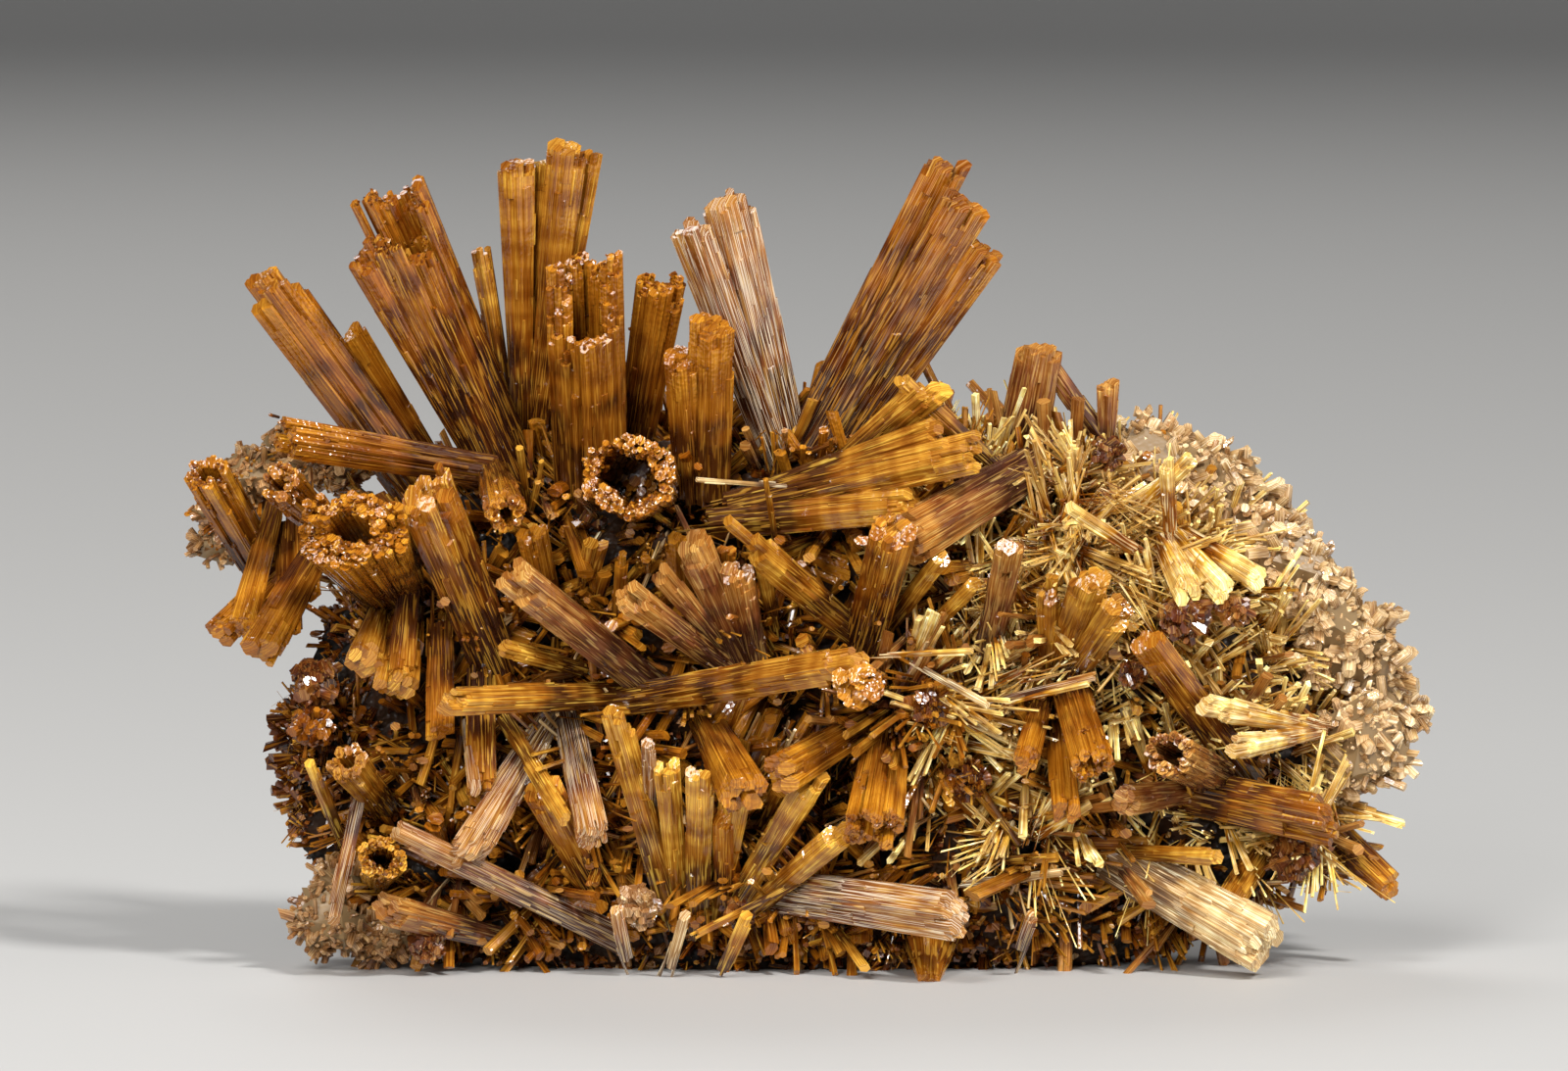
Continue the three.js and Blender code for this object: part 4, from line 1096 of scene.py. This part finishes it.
# Small crystals on each crust: their tones, and for the fine and then the coarse ones how many there are and
# the range of their lengths and half widths in millimetres
CRUSTS = {
    "right_edge_druse": (
        (0.35, 1.0), [(3600, (0.5, 1.0), (0.22, 0.42)), (900, (0.9, 1.3), (0.4, 0.7))],
    ),
    "left_edge_druse": (
        (0.0, 0.55), [(1200, (0.4, 0.9), (0.16, 0.32)), (260, (0.8, 1.1), (0.3, 0.5))],
    ),
    "lower_left_druse": (
        (0.0, 0.55), [(1000, (0.4, 0.9), (0.16, 0.32)), (220, (0.8, 1.1), (0.3, 0.5))],
    ),
    "back_druse": (
        (0.35, 1.0), [(2000, (0.5, 1.0), (0.24, 0.45)), (500, (0.9, 1.3), (0.4, 0.7))],
    ),
}


class SPECIMEN_OT_crusts(bpy.types.Operator):
    """Make the crusts of small crystals along the edges"""

    bl_idname = "specimen.crusts"
    bl_label = "Crusts"

    def execute(self, context):
        for node, (tones, sorts) in CRUSTS.items():
            chance = stream(node)
            pile = Pile()
            for count, length, half in sorts:
                places, outward = spots_on(node, count, chance)
                add_sprays(
                    pile, places + 0.05 * outward, outward, chance, 1, length, half,
                    lie=1.1, thin=(0.7, 1.0), foot=0.85, tip=0.75, corners=6, whole=True, tones=tones,
                )
            pile.piece(node + "_crystals", "druse")
            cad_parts[node].material_slots[0].material = finish_material("crust_bed")
        return {"FINISHED"}


# Tufts of small crystals: the solid and the side that they stand on, and for each sort its name and finish,
# how many tufts there are, blades in each, range of length and half width in millimetres, spread, and the
# range of the places in x and z
TUFTS = [
    ("vein_rock", "front", [
        ("prisms_front_honey", "honey", 170, 3, (2.5, 6.0), (0.28, 0.6), 0.14, (-30, 4), (1, 30)),
        ("prisms_front_dark", "chestnut", 210, 3, (2.0, 6.0), (0.3, 0.65), 0.14, (-30, 12), (0, 30)),
        ("prisms_front_gold", "golden", 260, 3, (2.0, 6.5), (0.2, 0.5), 0.16, (-30, 22), (1, 30)),
        ("prisms_front_rosy", "rosy", 160, 3, (2.5, 7.0), (0.22, 0.55), 0.14, (-30, 30), (1, 30)),
        ("prisms_foot_dark", "chestnut", 150, 3, (1.6, 3.6), (0.25, 0.55), 0.2, (-30, 30), (-1, 4)),
        ("prisms_foot_honey", "honey", 150, 3, (1.6, 3.6), (0.25, 0.5), 0.2, (-30, 30), (-1, 4)),
        ("prisms_front_straw", "straw", 270, 5, (3.0, 6.5), (0.15, 0.36), 0.14, (5, 29), (6, 30)),
        ("tufts_front_dark", "chestnut", 150, 7, (1.6, 5.0), (0.1, 0.26), 0.14, (-30, 8), (1, 30)),
        ("tufts_front_gold", "golden", 240, 7, (2.0, 5.5), (0.09, 0.22), 0.16, (-30, 22), (1, 30)),
        ("tufts_front_straw", "straw", 330, 9, (2.4, 6.0), (0.07, 0.2), 0.16, (6, 29), (6, 30)),
        ("needles_front_gold", "golden", 130, 5, (2.0, 6.0), (0.05, 0.1), 0.4, (-30, 14), (1, 30)),
        # needles_front_cream: needles given the pale cream finish to paint in white glints, a painted highlight
        ("needles_front_cream", "cream", 70, 3, (2.0, 5.5), (0.07, 0.18), 0.3, (-30, 16), (1, 26)),
        ("needles_front_straw", "straw", 260, 7, (2.0, 6.0), (0.04, 0.1), 0.35, (6, 29), (4, 30)),
        ("crumbs_front_dark", "chestnut", 800, 2, (0.8, 1.8), (0.22, 0.45), 0.5, (-30, 10), (-1, 30)),
        ("crumbs_front_rosy", "rosy", 500, 2, (0.6, 1.6), (0.18, 0.4), 0.5, (-30, 30), (-1, 30)),
        ("crumbs_front_gold", "golden", 500, 2, (0.6, 1.8), (0.15, 0.35), 0.5, (-30, 10), (0, 30)),
        ("crumbs_front_straw", "straw", 500, 2, (0.8, 2.2), (0.15, 0.38), 0.5, (5, 30), (3, 30)),
        ("crumbs_foot", "druse", 400, 2, (0.5, 1.2), (0.15, 0.32), 0.5, (-30, 30), (-1, 2)),
        ("crumbs_foot_dark", "honey", 900, 2, (0.6, 1.6), (0.2, 0.4), 0.5, (-30, 30), (-1, 4)),
        ("crumbs_left_edge", "honey", 500, 2, (0.6, 1.6), (0.2, 0.4), 0.5, (-30, -20), (0, 24)),
    ]),
    ("left_edge_druse", "front", [
        ("prisms_left_end_honey", "honey", 45, 3, (1.5, 3.6), (0.25, 0.55), 0.14, (-32, -20), (18, 32)),
        ("prisms_left_end_dark", "chestnut", 55, 3, (1.5, 3.2), (0.25, 0.55), 0.14, (-32, -20), (15, 27)),
    ]),
    ("vein_rock", "back", [
        ("prisms_back_dark", "chestnut", 250, 3, (1.4, 4.0), (0.25, 0.6), 0.16, (-30, 30), (0, 30)),
        ("prisms_back_gold", "golden", 250, 3, (1.4, 4.0), (0.2, 0.5), 0.16, (-30, 30), (0, 30)),
        ("tufts_back_gold", "golden", 200, 6, (1.2, 3.8), (0.08, 0.24), 0.2, (-30, 30), (1, 30)),
        ("tufts_back_straw", "straw", 200, 7, (1.2, 4.0), (0.06, 0.22), 0.3, (4, 30), (4, 30)),
        ("crumbs_back_dark", "chestnut", 800, 2, (0.7, 1.8), (0.22, 0.45), 0.5, (-30, 30), (-1, 30)),
        ("crumbs_back_rosy", "rosy", 700, 2, (0.6, 1.6), (0.18, 0.4), 0.5, (-30, 30), (-1, 30)),
    ]),
]
# The y part of the direction that a spot faces: below the first it is on the front, above the second on the
# back
FRONT_UP_TO = 0.35
BACK_FROM = -0.1
# Spots drawn on the whole solid for each one wanted in a box of this many square millimetres, and the rock's
# own reach in x and z, to which the box is cut
DRAWS = 220
DRAWS_BOX = 8
ROCK_REACH = (-27, 28)
# Crumbs are tufts of two blades: dark, coloured like the lower half of a crystal, and as large at the rock's
# edges as elsewhere. The blades of tufts of three stand wider apart, and straw-coloured ones are paler
CRUMB_BLADES = 2
CRUMB_TONES = (0.0, 0.65)
CRUMB_TIP = 0.5
WIDE_BLADES = 3
STRAW_TONES = (0.4, 1.2)
# A crystal whose half width reaches this many millimetres has six corners, and a finer one four
STOUT = 0.4
# Small crystals are shorter towards the left end and the foot: the place in x or in z where they would have
# no length, and over how many millimetres they reach all of it. SHORTEST is the least share that they have
SHORT_LEFT = (-27.0, 7.0)
SHORT_FOOT = (-1.5, 5.0)
SHORTEST = 0.35


def make_tufts(node, side, name, slot, count, blades, length, half, spread, wide, tall):
    """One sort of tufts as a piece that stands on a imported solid."""
    chance = stream(name)
    crumb = blades == CRUMB_BLADES

    def keep(places, outward):
        x, z = places[:, 0], places[:, 2]
        inside = (x > wide[0]) & (x < wide[1]) & (z > tall[0]) & (z < tall[1])
        facing = outward[:, 1] < FRONT_UP_TO if side == "front" else outward[:, 1] > BACK_FROM
        return inside & facing

    across = min(wide[1], ROCK_REACH[1]) - max(wide[0], ROCK_REACH[0])
    up = min(tall[1], ROCK_REACH[1]) - tall[0]
    draws = int(count * DRAWS / (across * up / DRAWS_BOX))
    places, outward = spots_on(node, max(draws, 3 * count), chance, keep)
    tones = CRUMB_TONES if crumb else STRAW_TONES if slot == "straw" else TONES
    pile = Pile()
    add_sprays(
        pile, places[:count], outward[:count], chance, blades, length, half, spread=spread, lie=1.0,
        width=0.9 if blades == WIDE_BLADES else 0.5, corners=6 if half[1] >= STOUT and not crumb else 4,
        whole=crumb, tones=tones, along=np.array([0.0, CRUMB_TIP if crumb else 1.0]),
    )
    pile.piece(name, slot)


class SPECIMEN_OT_tufts(bpy.types.Operator):
    """Cover the rock with tufts of small crystals"""

    bl_idname = "specimen.tufts"
    bl_label = "Tufts on the rock"

    def execute(self, context):
        for node, side, sorts in TUFTS:
            for sort in sorts:
                make_tufts(node, side, *sort)
        return {"FINISHED"}


# Lumps of sparkling crust between the crystals: finish, middle and radius in millimetres
LUMPS = [
    ("rosy", (19.2, -8.2, 18.2), 1.3),
    ("rosy", (21.8, -7.6, 18.6), 0.9),
    ("rosy", (15.4, -4.6, 26.4), 0.9),
    ("rosy", (16.6, -7.6, 15.4), 0.8),
    ("chestnut", (6.4, -7.8, 13.9), 1.2),
    ("chestnut", (8.2, -7.0, 10.0), 1.1),
    ("druse", (-8.3, -7.6, 3.6), 1.1),
    ("rosy", (-3.3, -7.4, 3.2), 0.8),
    ("rosy", (-19.0, -7.0, 1.6), 0.9),
    ("rosy", (-24.7, -5.4, 14.9), 1.3),
    ("honey", (-24.9, -5.8, 12.6), 1.1),
    ("rosy", (24.9, -4.6, 6.0), 1.3),
]
# Blocks in a lump for each millimetre of its radius
LUMP_BLOCKS = 90


class SPECIMEN_OT_lumps(bpy.types.Operator):
    """Make the lumps of sparkling crust between the crystals"""

    bl_idname = "specimen.lumps"
    bl_label = "Crust lumps"

    def execute(self, context):
        for number, (slot, middle, radius) in enumerate(LUMPS):
            chance = stream("lumps", number)
            count = int(LUMP_BLOCKS * radius)
            # Blocks at chance directions from the middle, about half a radius out, each turned its own way
            outward = unit(chance.normal(0, 1, (count, 3)))
            heading = unit(outward + 0.8 * chance.normal(0, 1, (count, 3)))
            centre = np.array(middle) + outward * radius * chance.uniform(0.45, 0.75, (count, 1))
            reach = radius * chance.uniform(0.22, 0.4, (count, 1))
            pile = Pile()
            add_rods(
                pile, centre - heading * reach, centre + heading * reach,
                radius * chance.uniform(0.12, 0.3, count),
                any_side(heading), chance.uniform(0, 0.6, count),
                slope=chance.uniform(0, 1, count), along=np.tile([0.1, 0.7], (count, 1)),
                grow=chance.uniform(0, 9, (count, 2)),
            )
            pile.piece(f"crust_lump_{number + 1}", slot)
        return {"FINISHED"}


# The felt, from fine needles to broad blades: sprays, blades in each, length and half width in millimetres,
# and spread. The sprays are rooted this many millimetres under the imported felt's face
FELT = [
    (90, 9, (2.0, 4.6), (0.04, 0.11), 0.3),
    (110, 8, (2.4, 5.0), (0.08, 0.2), 0.16),
    (80, 4, (2.6, 5.0), (0.18, 0.36), 0.14),
]
FELT_ROOT = 1.2


class SPECIMEN_OT_felt(bpy.types.Operator):
    """Make the felt of yellow needles on the right"""

    bl_idname = "specimen.felt"
    bl_label = "Needle felt"

    def execute(self, context):
        chance = stream("needle_felt")
        pile = Pile()
        for count, blades, length, half, spread in FELT:
            places, outward = spots_on("needle_felt", count, chance)
            add_sprays(
                pile, places - FELT_ROOT * outward, outward, chance, blades, length, half,
                spread=spread, lie=1.5, thin=(0.4, 0.9), corners=4, whole=True,
            )
        pile.piece("needle_felt_blades", "straw", ["needle_felt"])
        return {"FINISHED"}


# The bowl-shaped floor, and the lights with their places and sizes, in metres
FLOOR = {"flat": 1.4, "rim": 2.2, "height": 0.5, "rings": 40, "columns": 96}
LIGHTS = [
    ("key_light", "key_power", (-0.35, -0.75, 0.85), 0.4),
    ("glint_light", "glint_power", (0.4, -0.6, 0.65), 0.12),
    ("front_light", "front_power", (-0.22, -0.78, 0.3), 0.2),
    ("fill_light", "fill_power", (0.9, -0.45, 0.3), 0.8),
    ("back_light", "back_power", (-0.3, 0.8, 0.8), 0.5),
]
AIM = (-0.0010, 0.0, 0.0219)
CAMERA = {"distance": 0.7, "elevation": 4.0, "sees": 0.080, "sensor": 36.0}
# The faint light from all round
STUDIO = {"Color": (0.9, 0.93, 1.0, 1.0), "Strength": 0.075}


class SPECIMEN_OT_stage(bpy.types.Operator):
    """Make the floor, the lights and the camera"""

    bl_idname = "specimen.stage"
    bl_label = "Stage"

    def execute(self, context):
        scene = context.scene
        settings = scene.specimen_stage
        # The floor is a profile turned round the upright axis: flat, then a quarter wave up to the rim
        share = np.linspace(0, 1, FLOOR["rings"])[1:]
        radius = share * FLOOR["rim"]
        climb = np.clip((radius - FLOOR["flat"]) / (FLOOR["rim"] - FLOOR["flat"]), 0, 1)
        height = FLOOR["height"] * (1 - np.cos(climb * math.pi / 2))
        turn = np.arange(FLOOR["columns"]) * (2 * math.pi / FLOOR["columns"])
        ring = np.stack(np.broadcast_arrays(
            radius[:, None] * np.cos(turn), radius[:, None] * np.sin(turn), height[:, None],
        ), axis=-1).reshape(-1, 3)
        points = np.concatenate([ring, [[0.0, 0.0, 0.0]]])
        at, beside, walls = grid_faces(len(radius), FLOOR["columns"])
        middle = np.stack([np.full(len(turn), len(ring)), at[0], beside[0]], axis=-1)
        mesh = bpy.data.meshes.new("floor")
        mesh.from_pydata(points, [], walls[:, ::-1].tolist() + middle.tolist())
        mesh.polygons.foreach_set("use_smooth", np.ones(len(mesh.polygons), bool))
        floor = bpy.data.objects.new("floor", mesh)
        scene.collection.objects.link(floor)
        material = bpy.data.materials.new("floor")
        weave = Weave(material)
        shader = weave.add("BsdfPrincipled", {
            "Base Color": opaque(tuple(settings.floor_colour)), "Roughness": 0.6,
        })
        weave.tree.links.new(shader.outputs[0], weave.add("OutputMaterial").inputs["Surface"])
        mesh.materials.append(material)

        world = bpy.data.worlds.new("studio")
        world.use_nodes = True
        for socket, value in STUDIO.items():
            world.node_tree.nodes["Background"].inputs[socket].default_value = value
        scene.world = world
        scene.view_settings.view_transform = "Standard"
        target = np.array(AIM)
        for name, power, place, size in LIGHTS:
            light = bpy.data.lights.new(name, "AREA")
            light.size = size
            light.energy = getattr(settings, power)
            self.aim(scene, bpy.data.objects.new(name, light), np.array(place), target)
        camera_data = bpy.data.cameras.new("camera")
        camera_data.sensor_width = CAMERA["sensor"]
        camera_data.lens = CAMERA["sensor"] * CAMERA["distance"] / CAMERA["sees"]
        camera_data.clip_start = 0.01
        camera = bpy.data.objects.new("camera", camera_data)
        tilt = math.radians(CAMERA["elevation"])
        away = CAMERA["distance"] * np.array([0, -math.cos(tilt), math.sin(tilt)])
        self.aim(scene, camera, target + away, target)
        scene.camera = camera
        return {"FINISHED"}

    @staticmethod
    def aim(scene, thing, place, target):
        """Puts a light or the camera at a place with its own -Z towards the target and its own Y upwards."""
        scene.collection.objects.link(thing)
        back = unit(place - target)
        right = unit(np.cross([0.0, 0.0, 1.0], back))
        matrix = np.eye(4)
        matrix[:3, :3] = np.stack([right, np.cross(back, right), back], axis=1)
        matrix[:3, 3] = place
        thing.matrix_world = Matrix(matrix.tolist())


class SPECIMEN_PT_panel(bpy.types.Panel):
    """The specimen's pieces and settings"""

    bl_idname = "SPECIMEN_PT_panel"
    bl_label = "Vanadinite specimen"
    bl_space_type = "VIEW_3D"
    bl_region_type = "UI"
    bl_category = "Specimen"

    def draw(self, context):
        scene = context.scene
        for group in (scene.specimen_sizes, scene.specimen_colours, scene.specimen_stage):
            box = self.layout.box()
            for key in group.__annotations__:
                box.prop(group, key)
        for operator in STEPS:
            self.layout.operator(operator.bl_idname)


STEPS = [
    SPECIMEN_OT_stage,
    SPECIMEN_OT_rock,
    SPECIMEN_OT_skyline,
    SPECIMEN_OT_middle,
    SPECIMEN_OT_left,
    SPECIMEN_OT_foot,
    SPECIMEN_OT_right,
    SPECIMEN_OT_slender,
    SPECIMEN_OT_back,
    SPECIMEN_OT_crusts,
    SPECIMEN_OT_tufts,
    SPECIMEN_OT_felt,
    SPECIMEN_OT_lumps,
]
GROUPS = {
    "specimen_sizes": SpecimenSizes,
    "specimen_colours": SpecimenColours,
    "specimen_stage": SpecimenStage,
}


def register():
    for kind in (*GROUPS.values(), *STEPS, SPECIMEN_PT_panel):
        bpy.utils.register_class(kind)
    for name, group in GROUPS.items():
        setattr(bpy.types.Scene, name, bpy.props.PointerProperty(type=group))


def unregister():
    for name in GROUPS:
        delattr(bpy.types.Scene, name)
    for kind in reversed((*GROUPS.values(), *STEPS, SPECIMEN_PT_panel)):
        bpy.utils.unregister_class(kind)


def main():
    register()
    bpy.ops.specimen.stage()
    bpy.ops.specimen.rock()
    bpy.ops.specimen.skyline()
    bpy.ops.specimen.middle()
    bpy.ops.specimen.left()
    bpy.ops.specimen.foot()
    bpy.ops.specimen.right()
    bpy.ops.specimen.slender()
    bpy.ops.specimen.back()
    bpy.ops.specimen.crusts()
    bpy.ops.specimen.tufts()
    bpy.ops.specimen.felt()
    bpy.ops.specimen.lumps()


if __name__ == "__main__":
    main()
